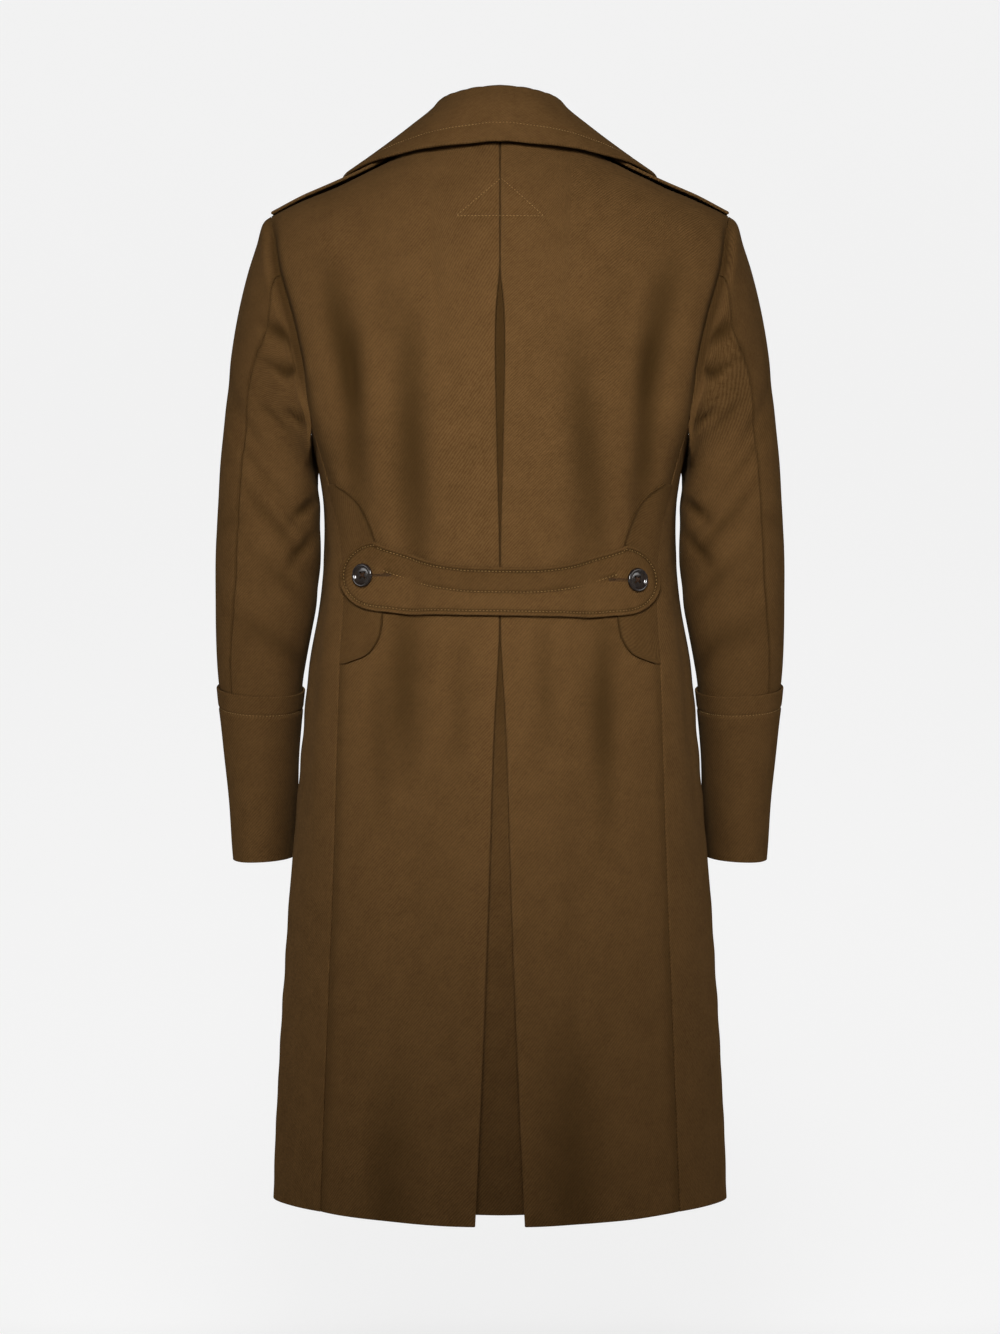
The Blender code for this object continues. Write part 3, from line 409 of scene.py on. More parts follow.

# Finer creases that the solids leave out
CREASES = {
    BACK: (
        # x_top, z_top, x_low, z_low, half_width, depth
        (-0.170, -0.105, -0.141, -0.275, 0.014, 0.0034),
        (-0.145, -0.170, -0.139, -0.385, 0.011, 0.0034),
        (-0.089, -0.140, -0.081, -0.470, 0.015, 0.0034),
        (-0.094, -0.420, -0.092, -0.640, 0.016, 0.0030),
        (0.070, -0.165, 0.098, -0.455, 0.017, 0.0030),
        (0.172, -0.100, 0.134, -0.275, 0.015, 0.0034),
        (0.146, -0.185, 0.137, -0.395, 0.011, 0.0034),
        (0.104, -0.430, 0.092, -0.640, 0.014, 0.0024),
        (-0.115, -0.090, -0.104, -0.230, 0.013, 0.0009),
        (0.112, -0.110, 0.108, -0.250, 0.014, 0.0010),
        (-0.036, -0.462, -0.040, -0.640, 0.010, 0.0013),
        (0.041, -0.462, 0.047, -0.610, 0.011, 0.0014),
        (-0.120, -0.500, -0.113, -0.680, 0.011, 0.0016),
        (0.106, -0.490, 0.100, -0.720, 0.012, 0.0017),
        (-0.104, -0.880, -0.110, -1.200, 0.024, 0.0022),
        (0.066, -0.830, 0.072, -1.200, 0.026, 0.0024),
        (-0.152, -0.780, -0.158, -1.180, 0.020, -0.0016),
    ),
    FRONT: (
        # x_top, z_top, x_low, z_low, half_width, depth
        (-0.148, -0.180, -0.140, -0.330, 0.010, 0.0026),
        (0.150, -0.180, 0.141, -0.330, 0.010, 0.0026),
        (-0.086, -0.335, -0.113, -0.445, 0.011, 0.0018),
        (0.084, -0.345, 0.110, -0.455, 0.011, 0.0018),
        (-0.080, -0.470, -0.100, -0.570, 0.010, 0.0018),
        (0.086, -0.490, 0.106, -0.600, 0.011, 0.0016),
        (-0.104, -0.590, -0.112, -0.920, 0.015, 0.0034),
        (0.118, -0.560, 0.127, -0.880, 0.015, 0.0032),
        (-0.038, -0.640, -0.032, -1.180, 0.021, 0.0030),
        (0.050, -0.690, 0.060, -1.200, 0.023, 0.0032),
        (0.008, -0.720, 0.012, -1.180, 0.020, -0.0018),
        (-0.150, -0.820, -0.160, -1.190, 0.020, 0.0026),
        (0.150, -0.800, 0.160, -1.190, 0.020, 0.0026),
    ),
}
SIDE_CREASES = (
    # share, z_top, z_low, half_share, depth
    (0.30, -0.360, -0.760, 0.10, 0.0026),
    (0.66, -0.430, -0.900, 0.11, 0.0030),
    (0.46, -0.680, -1.240, 0.13, -0.0030),
    (0.80, -0.800, -1.240, 0.10, 0.0022),
)
SLEEVE_CREASES = (
    # along, degrees, half_along, half_degrees, slant, depth
    (0.028, 67.5, 0.0075, 19.0, -0.0015, 0.0048),
    (0.043, 80.0, 0.0085, 18.0, -0.0023, 0.0050),
    (0.062, 104.0, 0.0100, 14.0, -0.0035, 0.0048),
    (0.152, 80.0, 0.0110, 16.0, -0.0008, 0.0018),
    (0.250, 136.0, 0.0120, 22.0, -0.0016, 0.0042),
    (0.318, 133.0, 0.0130, 24.0, -0.0014, 0.0034),
    (0.240, 62.0, 0.010, 30.0, 0.0005, 0.0016),
    (0.302, 92.0, 0.011, 36.0, 0.0007, 0.0020),
    (0.322, 40.0, 0.012, 26.0, -0.0004, 0.0012),
    (0.372, 112.0, 0.011, 36.0, 0.0006, 0.0018),
    (0.430, 88.0, 0.014, 40.0, 0.0004, 0.0014),
    (0.455, 140.0, 0.012, 32.0, 0.0006, 0.0014),
    (0.335, 250.0, 0.012, 40.0, -0.0006, 0.0022),
    (0.395, 280.0, 0.012, 40.0, -0.0005, 0.0018),
    (0.225, 290.0, 0.014, 34.0, 0.0007, 0.0016),
)
CUFF_CREASES = (
    # along, degrees, half_along, half_degrees, slant, depth
    (0.560, 70.0, 0.030, 26.0, 0.0006, 0.0012),
    (0.600, 120.0, 0.026, 30.0, 0.0005, 0.0010),
    (0.585, 250.0, 0.030, 30.0, -0.0006, 0.0012),
)

# Cuffs, belt, patches and straps as sewn
CUFF_TOP = 0.496
CUFF_HEM = 0.669
CUFF_STITCH = 0.516
BELT_TIP_X = 0.1185
BELT_TIP_Z = -0.4305
BELT_TIP_RADIUS = 0.0350
BELT_TIP_DEGREES = 83.5
BELT_TIP_LINES = 16
BELT_INSETS = (
    0.0, 0.0018, 0.0026, 0.0033, 0.0039, 0.0045, 0.0051,
    0.0058, 0.0068, 0.0090, 0.0120, 0.0155, 0.0190,
)
BELT_MIDDLE_SHARES = (0.422, 0.444, 0.456, 0.468, 0.480, 0.492, 0.504, 0.526)
BELT_HEIGHT = 0.049
BELT_MIDDLE_DROP = 0.025
BELT_MIDDLE_REACH = 0.112
BELT_EDGE_STITCH = 0.0045
PATCH_LAY = 0.0004
PATCH_PIPING = 0.0011
STRAP_STITCH = 0.0050
COLLAR_STITCH = 0.0190
COLLAR_STITCH_REACH = 0.92
FRONT_STITCH = 0.0065
LAPEL_STITCH = 0.0060
GROOVE_DEPTH = 0.0011
GROOVE_WIDTH = 0.0014
TRIANGLE = ((-0.0425, -0.0785), (0.0010, -0.0400), (0.0425, -0.0785))
TRIANGLE_POINTS = 40
STITCH_SINK = 0.3
STITCH_RINGS = 5
THREAD_SIDES = 6
THREAD_END = 0.5

# Buttons and their worked buttonholes
BUTTON_PROFILE = (
    # radius share, height share
    (0.30, 0.50),
    (0.56, 0.50),
    (0.66, 0.56),
    (0.74, 0.80),
    (0.80, 0.96),
    (0.87, 1.00),
    (0.94, 0.94),
    (0.985, 0.78),
    (1.00, 0.55),
    (0.97, 0.30),
    (0.88, 0.10),
    (0.70, 0.00),
)
BUTTON_SIDES = 64
HOLE_CORNERS = ((1, 1), (-1, 1), (-1, -1), (1, -1))
HOLE_PLACE = 0.21
HOLE_RADIUS = 0.105
HOLE_SIDES = 16
HOLE_DEPTH = 4
BUTTON_SHARP_DEGREES = 40
THREAD_STRANDS = 3
STRAND_SPACING = 0.6
STRAND_RINGS = 7
STRAND_HEIGHT = 0.50
STRAND_ARCH = 0.16
STRAND_DIVE = 0.35
STRAND_DIVE_POWER = 6
SLIT_LENGTH = 0.025
SLIT_HALF_WIDTH = 0.0004
SLIT_RINGS = 25
WHIP_PITCH = 0.0011
WHIP_REACH = 0.0019

# Noise of the materials
NOISE = {
    # name: scale, detail, roughness
    "wobble": (160.0, 3.0, 0.5),
    "nap": (900.0, 3.0, 0.6),
    "fleck": (260.0, 2.0, 0.5),
    "mottle": (55.0, 4.0, 0.65),
    "cloud": (9.0, 3.0, 0.5),
    "twist": (1400.0, 2.0, 0.5),
    "slit": (900.0, 2.0, 0.5),
    "streak": (420.0, 4.0, 0.6),
    "pore": (2600.0, 2.0, 0.5),
    "speck": (3.0, 2.0, 0.5),
}
MIDDLE_SHARE = 0.5

# Wool, thread and horn
TWILL_WOBBLE = 5.0
WOOL_COLOUR = {"twill": 0.30, "nap": 0.90, "fleck": 0.90, "mottle": 0.80, "cloud": 0.30}
WOOL_RELIEF = {"twill": 0.45, "nap": 0.90, "fleck": 0.40}
WOOL_BUMP = 0.45
WOOL_ROUGHNESS = 0.56
NAP_ROUGHNESS = 0.12
THREAD_DARK = 0.55
THREAD_SHARE = 0.6
TWIST_SHARE = 0.9
THREAD_ROUGHNESS = 0.75
TWIST_ROUGHNESS = 0.2
SLIT_SHARE = 0.3
SLIT_DARK = 0.5
HORN_DRAWN = (1.0, 0.22, 1.0)
HORN_SHARE = 0.22
STREAK_SHARE = 1.6
HORN_ROUGHNESS = 0.13
STREAK_ROUGHNESS = 0.06
PORE_ROUGHNESS = 0.04
STREAK_RELIEF = 0.5
HORN_BUMP = 0.05
PORE_DEPTH = 0.0002

# Studio
FLOOR_DARK = 0.97
FLOOR_ROUGHNESS = 0.92
SPECK_ROUGHNESS = 0.05
GLOW_SLOPE = 0.25
CAMERA_DISTANCE = 4.0
CAMERA_HEIGHT = -0.517
FRAME_HEIGHT = 1.334
SENSOR = 36.0
BOWL_RADIUS = 8.5
BOWL_HEIGHT = 7.0
BOWL_POWER = 4.0
BOWL_RINGS = 48
BOWL_SIDES = 96
BEHIND_SHARE = 0.2
LIGHTS = (
    # name, its power's setting, spread in degrees, width and height, place, aim
    ("key", "key_power", 33, (0.45, 1.0), (-0.03, -2.3, 0.40), (0.0, -0.1, -0.30)),
    ("fill", "fill_power", 55, (1.0, 1.6), (-2.2, -0.6, -1.2), (0.0, 0.0, -1.1)),
    ("fill", "fill_power", 55, (1.0, 1.6), (2.2, -0.6, -1.2), (0.0, 0.0, -1.1)),
    ("front", "front_power", 58, (1.2, 1.4), (0.6, 2.2, 0.5), (0.0, 0.1, -0.5)),
)


class CoatSizes(PropertyGroup):
    """Sizes of the cloth's surface and its sewing."""

    stitch_length: FloatProperty(
        name="Stitch length", description="Length of one topstitch", default=0.0019, unit="LENGTH"
    )
    stitch_gap: FloatProperty(
        name="Stitch gap", description="Gap between two topstitches", default=0.0015, unit="LENGTH"
    )
    stitch_width: FloatProperty(
        name="Thread width", description="Thickness of the thread", default=0.0006, unit="LENGTH"
    )
    twill_pitch: FloatProperty(
        name="Twill pitch", description="Distance between two twill lines", default=0.0024, unit="LENGTH"
    )
    twill_angle: FloatProperty(
        name="Twill angle", description="Rise of the twill lines", default=math.radians(50), subtype="ANGLE"
    )
    nap_height: FloatProperty(
        name="Nap height", description="Height of the weave and nap", default=0.0004, unit="LENGTH"
    )


class CoatColours(PropertyGroup):
    """Colours of the cloth, thread and horn."""

    cloth_light: FloatVectorProperty(
        name="Cloth, light", description="Wool on the crests of the twill", subtype="COLOR",
        default=(0.0606, 0.0318, 0.0113), min=0.0, max=1.0,
    )
    cloth_dark: FloatVectorProperty(
        name="Cloth, dark", description="Wool between the twill lines", subtype="COLOR",
        default=(0.0322, 0.0164, 0.0055), min=0.0, max=1.0,
    )
    # Painted shade colour, blended into the cloth where the mesh's painted shade attribute is high
    cloth_painted_shade: FloatVectorProperty(
        name="Cloth, hollows", description="Less rubbed wool in the creases", subtype="COLOR",
        default=(0.0205, 0.0106, 0.0033), min=0.0, max=1.0,
    )
    thread: FloatVectorProperty(
        name="Thread", description="Ochre topstitching thread", subtype="COLOR",
        default=(0.165, 0.098, 0.034), min=0.0, max=1.0,
    )
    brown_thread: FloatVectorProperty(
        name="Brown thread", description="Dark thread of the buttons and buttonholes", subtype="COLOR",
        default=(0.026, 0.0115, 0.0050), min=0.0, max=1.0,
    )
    horn: FloatVectorProperty(
        name="Horn", description="Dark horn of the buttons", subtype="COLOR",
        default=(0.0050, 0.0036, 0.0030), min=0.0, max=1.0,
    )
    horn_streak: FloatVectorProperty(
        name="Horn streak", description="Paler streaks in the horn", subtype="COLOR",
        default=(0.018, 0.012, 0.008), min=0.0, max=1.0,
    )
    floor: FloatVectorProperty(
        name="Floor", description="Studio floor and backdrop", subtype="COLOR",
        default=(0.30, 0.30, 0.30), min=0.0, max=1.0,
    )
    glow: FloatVectorProperty(
        name="Backdrop glow", description="Own light of the backdrop before the coat", subtype="COLOR",
        default=(0.76, 0.76, 0.76), min=0.0, max=1.0,
    )


class StudioSettings(PropertyGroup):
    """Light and floor of the studio."""

    floor_height: FloatProperty(
        name="Floor height", description="Height of the studio floor", default=-1.50, unit="LENGTH"
    )
    key_power: FloatProperty(
        name="Key light", description="Power of the key light", default=7.3, unit="POWER"
    )
    fill_power: FloatProperty(
        name="Fill light", description="Power of each side light", default=4.0, unit="POWER"
    )
    front_power: FloatProperty(
        name="Front light", description="Power of the light on the coat's front", default=9.0, unit="POWER"
    )
    sky: FloatProperty(name="Sky", description="Strength of the even light from all sides", default=0.12)


def smooth(table, column, place):
    """Value of a table's named column at a place along its first column, on a smooth curve."""
    names, *rows = table
    places = np.array([row[0] for row in rows])
    values = np.array([row[names.index(column)] for row in rows])
    slopes = np.gradient(values, places)
    low = np.clip(np.searchsorted(places, place) - 1, 0, len(places) - 2)
    step = places[low + 1] - places[low]
    share = np.clip((place - places[low]) / step, 0.0, 1.0)
    rise = share * share * (3 - 2 * share)
    bend_in = slopes[low] * step * share * (1 - share) ** 2
    bend_out = slopes[low + 1] * step * share * share * (1 - share)
    return values[low] * (1 - rise) + values[low + 1] * rise + bend_in - bend_out


def ease(value):
    """Soft step from 0 to 1 over the unit range."""
    share = np.clip(value, 0.0, 1.0)
    return share * share * (3 - 2 * share)


def unit(vectors):
    """Vectors made one unit long."""
    return vectors / np.linalg.norm(vectors, axis=-1, keepdims=True)


def bump(value, place, half):
    """Soft hump of height 1 about a place."""
    return np.exp(-(((value - place) / half) ** 2))


def ripple(across, along, seed):
    """Slight unevenness of hanging cloth at places across and along it."""
    draw = np.random.default_rng(seed)
    depth = np.zeros_like(across)
    for _ in range(RIPPLES):
        turn = draw.uniform(0, math.pi)
        length = draw.uniform(*RIPPLE_LENGTH)
        start = draw.uniform(0, 2 * math.pi)
        depth += np.sin((across * math.cos(turn) + along * math.sin(turn)) * 2 * math.pi / length + start)
    return RIPPLE_DEPTH * depth / RIPPLES


def ring_power(face, height):
    """Roundness of the ring's back or front half at a height."""
    return smooth(BODY_RINGS, "back_power", height) if face == BACK else np.full_like(height, FRONT_POWER)


def ring_depth(face, x, height):
    """How far the ring at a height reaches back or forward at this x."""
    height = np.asarray(height, float)
    width = smooth(BODY_RINGS, "half_width", height)
    depth = smooth(BODY_RINGS, DEPTH_COLUMN[face], height)
    power = ring_power(face, height)
    return depth * (1 - np.clip(np.abs(x) / width, 0, 1) ** power) ** (1 / power)


def arch(v):
    """Shares of the way in and up that a row above the underarm line has come."""
    turn = np.clip(v, 0.0, 1.0) * math.pi / 2
    return np.cos(turn) ** ARCH, np.sin(turn) ** ARCH


def row_edge(face, v):
    """Half width of a panel at its row v."""
    low = UNDERARM + np.minimum(v, 0.0)
    up = arch(v)[1]
    return smooth(PANEL_EDGE[face], "half_width", low + (TIP_Z - UNDERARM) * up)


def travel(points):
    """Distances travelled along a line at each of its points."""
    steps = np.linalg.norm(np.diff(points, axis=0), axis=1)
    return np.concatenate([[0.0], np.cumsum(steps)])


def shell(face, q, v):
    """Plain outer surface of the body, without folds."""
    q, v = np.broadcast_arrays(np.asarray(q, float), np.asarray(v, float))
    low = UNDERARM + np.minimum(v, 0.0)
    inward, up = arch(v)
    x_low = q * smooth(PANEL_EDGE[face], "half_width", low)
    ridge = smooth(SHOULDER_RIDGE, "height", np.abs(q) * TIP_X)
    x = q * row_edge(face, v)
    y = face * ring_depth(face, x_low, low) * inward
    z = low + (ridge - UNDERARM) * up
    return np.stack([x, y, z], axis=-1)


def trough_depth(x, z, creases):
    """How far creases that run down the cloth pull it in at a point."""
    depth = np.zeros_like(x)
    for x_top, z_top, x_low, z_low, half_width, deep in creases:
        along = np.clip((z_top - z) / (z_top - z_low), 0.0, 1.0)
        across = (x - x_top - (x_low - x_top) * along) / half_width
        depth += deep * np.sin(math.pi * along) * np.exp(-across * across)
    return depth


def fold_depth(face, x, z):
    """How far the folds, creases and unevenness pull the body in at a point."""
    return ripple(x, z, face + FRONT) + trough_depth(x, z, BODY_FOLDS[face] + CREASES[face])


def hollow(depth):
    """Share of painted shade in a crease, by its depth: 0 on open cloth, 1 in the deepest."""
    return np.clip(depth / HOLLOW_DEPTH, 0.0, 1.0)


def crease_shade(face, outer):
    """Painted shade in the finer creases on a panel's outer grid."""
    return hollow(trough_depth(outer[..., 0], outer[..., 2], CREASES[face]))


def outward(face, q, v):
    """Unit normal of the plain body surface, pointing out of the coat."""
    across = shell(face, q + STEP, v) - shell(face, q - STEP, v)
    along = shell(face, q, v + STEP) - shell(face, q, v - STEP)
    return -face * unit(np.cross(across, along))


def seam_roll(face, q, v):
    """How far the cloth turns in at its armhole and, on the back, at its side seam."""
    inside = row_edge(face, v) * (1 - np.abs(q))
    sewn = ease(v / ARMHOLE_RISE) * ease((1 - v) / ARMHOLE_FADE)
    rolled = ARMHOLE_ROLL * bump(inside, 0.0, ARMHOLE_REACH) * sewn
    if face == BACK:
        rolled = rolled + SEAM_DEPTH * bump(inside, 0.0, SEAM_REACH) * ease(-v / DIP_BAND)
    return rolled


def seam_shade(q, v):
    """Painted shade on the back beside its armhole and its side seam."""
    inside = row_edge(BACK, v) * (1 - np.abs(q))
    sewn = ARMHOLE_SHADE * bump(inside, 0.0, ARMHOLE_REACH) * ease((1 - v) / ARMHOLE_FADE)
    return np.where(v > 0, sewn, SEAM_SHADE * bump(inside, 0.0, SEAM_REACH))


def body(face, q, v, out):
    """Body point with its folds and rolled seams, moved out from the surface."""
    plain = shell(face, q, v)
    fade = 1 - np.clip(np.abs(q), 0, 1) ** FOLD_FADE
    push = out - fade * fold_depth(face, plain[..., 0], plain[..., 2]) - seam_roll(face, q, v)
    return plain + outward(face, q, v) * push[..., None]


def locate(face, x, z):
    """Shares q and v of the body point that has this x and height."""
    above = z > UNDERARM
    share = np.clip((z - UNDERARM) / (TIP_Z - UNDERARM), 0.0, HIGHEST_SHARE)
    for _ in range(SETTLE_STEPS):
        edge_height = np.where(above, UNDERARM + (TIP_Z - UNDERARM) * share, z)
        q = x / smooth(PANEL_EDGE[face], "half_width", edge_height)
        ridge = smooth(SHOULDER_RIDGE, "height", np.abs(q) * TIP_X)
        share = np.clip((z - UNDERARM) / (ridge - UNDERARM), 0.0, HIGHEST_SHARE)
    up_row = np.arcsin(share ** (1 / ARCH)) * 2 / math.pi
    return q, np.where(above, up_row, z - UNDERARM)


def on_body(face, x, z, out):
    """Body point at this x and height, moved out from the surface."""
    x, z, out = np.broadcast_arrays(*(np.asarray(value, float) for value in (x, z, out)))
    q, v = locate(face, x, z)
    return body(face, q, v, out)


def shoulder_height(x, y):
    """Height of the body over a point of the plan, near the shoulders."""
    x, y = np.broadcast_arrays(np.asarray(x, float), np.asarray(y, float))
    height = np.zeros_like(x)
    for face in (BACK, FRONT):
        q = np.abs(x) / TIP_X
        for _ in range(SETTLE_STEPS):
            reach = ring_depth(face, q * row_edge(face, 0.0), UNDERARM)
            inward = np.clip(np.abs(y) / reach, 0.0, 1.0)
            up = np.sin(np.arccos(inward ** (1 / ARCH))) ** ARCH
            q = np.abs(x) / smooth(PANEL_EDGE[face], "half_width", UNDERARM + (TIP_Z - UNDERARM) * up)
        ridge = smooth(SHOULDER_RIDGE, "height", q * TIP_X)
        height = np.where(y * face >= 0, UNDERARM + (ridge - UNDERARM) * up, height)
    return height


def body_rows():
    """Row values from the hem up to the shoulder."""
    lower = np.linspace(HEM - UNDERARM, 0, LOWER_LINES, endpoint=False)
    return np.concatenate([lower, np.linspace(0, 1, UPPER_LINES)])


def hem_share(v):
    """1 at the hem, fading to 0 over the band above it."""
    return np.clip(1 - (v - HEM + UNDERARM) / HEM_BAND, 0.0, 1.0)


def along_row(v, q):
    """Row value at each q of a row: the hem rises a little towards the sides."""
    return v + HEM_RISE * q * q * hem_share(v)


def grid_normals(middle):
    """Unit normals of an open grid of points."""
    return unit(np.cross(np.gradient(middle, axis=1), np.gradient(middle, axis=0)))


def turned_edges(outer, inner, axis):
    """Both faces of a wall with their first and last lines along an axis turned over in a half round."""
    outer, inner = np.swapaxes(outer, 0, axis), np.swapaxes(inner, 0, axis)
    middle = (outer + inner) / 2
    half = (outer - inner) / 2
    thick = np.linalg.norm(half, axis=-1, keepdims=True)

    def rim(edge, beside, face):
        step = middle[edge] - middle[beside]
        room = EDGE_ROOM * np.linalg.norm(step, axis=-1, keepdims=True)
        back = unit(step) * np.minimum(thick[edge], room)
        lines = []
        for degrees in EDGE_TURNS:
            angle = math.radians(degrees)
            place = middle[edge] + back * (math.sin(angle) - 1)
            lines.append(place + face * half[edge] * math.cos(angle))
        return np.array(lines)

    made = []
    for grid, face in ((outer, 1), (inner, -1)):
        whole = np.concatenate([rim(0, 1, face)[::-1], grid[1:-1], rim(-1, -2, face)])
        made.append(np.swapaxes(whole, 0, axis))
    return made


def grain_of(grid):
    """Places across and along the cloth of a grid's points, in metres, for its weave."""
    across = np.linalg.norm(np.diff(grid, axis=1), axis=-1)
    along = np.linalg.norm(np.diff(grid, axis=0), axis=-1)
    u = np.concatenate([np.zeros((len(grid), 1)), np.cumsum(across, axis=1)], axis=1)
    u -= u[:, grid.shape[1] // 2, None]
    v = np.concatenate([np.zeros((1, grid.shape[1])), np.cumsum(along, axis=0)])
    return np.stack([u, v], axis=-1)


def edge_copies(values, axis):
    """Values of a grid, its first and last lines along an axis repeated over the turned edge."""
    counts = np.ones(values.shape[axis], int)
    counts[[0, -1]] = len(EDGE_TURNS)
    return np.repeat(values, counts, axis=axis)


def wall_mesh(name, outer, inner, painted_shades=None, ring=False, crossways=False):
    """Closed wall of cloth between two grids, with its grain as a UV map and the painted shade of its outer
    face as an attribute. A ring joins its last column to its first, and crossways grain runs along the rows."""
    if painted_shades is None:
        painted_shades = np.zeros(outer.shape[:2])
    outer, inner = turned_edges(outer, inner, 0)
    painted_shades = edge_copies(painted_shades, 0)
    if not ring:
        outer, inner = turned_edges(outer, inner, 1)
        painted_shades = edge_copies(painted_shades, 1)
    rows, columns = outer.shape[:2]
    place = np.arange(rows * columns).reshape(rows, columns)
    grain = grain_of(outer)
    if ring:
        place = np.concatenate([place, place[:, :1]], axis=1)
        grain = grain_of(np.concatenate([outer, outer[:, :1]], axis=1))
    inside = rows * columns
    spot = np.arange(place.size).reshape(place.shape)

    def quads(corners):
        return np.stack([corner.ravel() for corner in corners], axis=-1)

    cells = [(slice(None, -1), slice(None, -1)), (slice(None, -1), slice(1, None))]
    cells += [(slice(1, None), slice(1, None)), (slice(1, None), slice(None, -1))]
    faces = [quads([place[cell] for cell in cells]), quads([place[cell] + inside for cell in cells[::-1]])]
    spots = [quads([spot[cell] for cell in cells]), quads([spot[cell] for cell in cells[::-1]])]
    rims = [(place[0, ::-1], spot[0, ::-1]), (place[-1], spot[-1])]
    if not ring:
        rims += [(place[:, 0], spot[:, 0]), (place[::-1, -1], spot[::-1, -1])]
    for line, mark in rims:
        faces.append(quads([line[:-1], line[1:], line[1:] + inside, line[:-1] + inside]))
        spots.append(quads([mark[:-1], mark[1:], mark[1:], mark[:-1]]))
    faces, spots = np.concatenate(faces), np.concatenate(spots)
    points = np.concatenate([outer.reshape(-1, 3), inner.reshape(-1, 3)])
    corners = points[faces]
    size = np.sum(corners[:, 0] * np.cross(corners[:, 1], corners[:, 2]))
    size += np.sum(corners[:, 0] * np.cross(corners[:, 2], corners[:, 3]))
    grain = grain.reshape(-1, 2)
    if crossways:
        grain = grain[:, ::-1] * np.array((-1.0, 1.0))
    if size < 0:
        faces, spots = faces[:, ::-1], spots[:, ::-1]
        grain = grain * np.array((-1.0, 1.0))
    mesh = bpy.data.meshes.new(name)
    mesh.from_pydata(points.tolist(), [], faces.tolist())
    mesh.uv_layers.new(name="grain").data.foreach_set("uv", grain[spots].astype(np.float32).ravel())
    # Painted shade on the outer face, none on the inner face
    shades = np.concatenate([painted_shades.ravel(), np.zeros(inside)]).astype(np.float32)
    mesh.attributes.new("hollow", "FLOAT", "POINT").data.foreach_set("value", shades)
    mesh.shade_smooth()
    return mesh


class Wire:
    """One output of a shader node, which takes part in Python expressions."""

    def __init__(self, tree, output=None):
        self.tree = tree
        self.output = output

    def node(self, kind, settings=None, sockets=None, output=0):
        """New node of a type: its settings first, then the values or links of its sockets."""
        made = self.tree.nodes.new(kind)
        for name, value in (settings or {}).items():
            setattr(made, name, value)
        for name, value in (sockets or {}).items():
            if isinstance(value, Wire):
                self.tree.links.new(value.output, made.inputs[name])
            else:
                made.inputs[name].default_value = value
        return Wire(self.tree, made.outputs[output])

    def other(self, output):
        """Another output of the same node."""
        return Wire(self.tree, self.output.node.outputs[output])

    def feed(self, shader, name):
        """Link this output to a shader's socket."""
        self.tree.links.new(self.output, shader.inputs[name])

    def math(self, operation, first, second=0.0):
        """Math node on two values."""
        return self.node("ShaderNodeMath", {"operation": operation}, {0: first, 1: second})

    def __add__(self, value):
        return self.math("ADD", self, value)

    def __sub__(self, value):
        return self.math("SUBTRACT", self, value)

    def __rsub__(self, value):
        return self.math("SUBTRACT", value, self)

    def __mul__(self, value):
        return self.math("MULTIPLY", self, value)

    __radd__ = __add__
    __rmul__ = __mul__


def new_material(name, **constants):
    """Material with its shader's constant sockets set, and a start for its expressions."""
    material = bpy.data.materials.new(name)
    material.use_nodes = True
    shader = material.node_tree.nodes["Principled BSDF"]
    for socket, value in constants.items():
        shader.inputs[socket.replace("_", " ")].default_value = value
    return material, Wire(material.node_tree), shader


def blend_colours(wires, share, first, second):
    """Colour between two colours, by a share."""
    first, second = [part if isinstance(part, Wire) else (*part, 1.0) for part in (first, second)]
    return wires.node("ShaderNodeMix", {"data_type": "RGBA"}, {0: share, 6: first, 7: second}, output=2)


def noise(wires, place, kind):
    """Noise of a kind, about 0, at a place."""
    scale, detail, roughness = NOISE[kind]
    sockets = {"Vector": place, "Scale": scale, "Detail": detail, "Roughness": roughness}
    return wires.node("ShaderNodeTexNoise", sockets=sockets) - MIDDLE_SHARE


def mixed(start, layers, shares):
    """Sum of layers by their shares, above a start."""
    for name, share in shares.items():
        start = start + layers[name] * share
    return start


def wool_cloth(context):
    """Olive-brown wool twill with a short soft nap, darkened towards a painted shade colour where the mesh's
    painted shade attribute is high.
    """
    name = "olive_wool"
    if name in bpy.data.materials:
        return bpy.data.materials[name]
    sizes = context.scene.coat_sizes
    colours = context.scene.coat_colours
    material, wires, shader = new_material(
        name,
        Sheen_Weight=0.015,
        Sheen_Roughness=0.45,
        Sheen_Tint=(0.62, 0.47, 0.28, 1.0),
        Specular_IOR_Level=0.0,
    )
    grain = wires.node("ShaderNodeUVMap", {"uv_map": "grain"})
    across = wires.node("ShaderNodeSeparateXYZ", sockets={0: grain})
    along = across.other(1)
    whole = wires.node("ShaderNodeTexCoord", output="Object")
    turns = 2 * math.pi / sizes.twill_pitch
    rise = across * (math.sin(sizes.twill_angle) * turns) - along * (math.cos(sizes.twill_angle) * turns)
    layers = {"twill": wires.math("SINE", rise + noise(wires, grain, "wobble") * TWILL_WOBBLE)}
    for place, kinds in ((grain, ("nap", "fleck")), (whole, ("mottle", "cloud"))):
        for kind in kinds:
            layers[kind] = noise(wires, place, kind)
    share = mixed(MIDDLE_SHARE, layers, WOOL_COLOUR)
    cloth = blend_colours(wires, share, colours.cloth_dark, colours.cloth_light)
    # Painted shade: the cloth's colour darkened towards the shade colour by the mesh's attribute
    sunk = wires.node("ShaderNodeAttribute", {"attribute_name": "hollow"}, output="Fac")
    blend_colours(wires, sunk, cloth, colours.cloth_painted_shade).feed(shader, "Base Color")
    (WOOL_ROUGHNESS + layers["nap"] * NAP_ROUGHNESS).feed(shader, "Roughness")
    height = mixed(0.0, layers, WOOL_RELIEF)
    sockets = {"Height": height, "Strength": WOOL_BUMP, "Distance": sizes.nap_height}
    wires.node("ShaderNodeBump", sockets=sockets).feed(shader, "Normal")
    return material


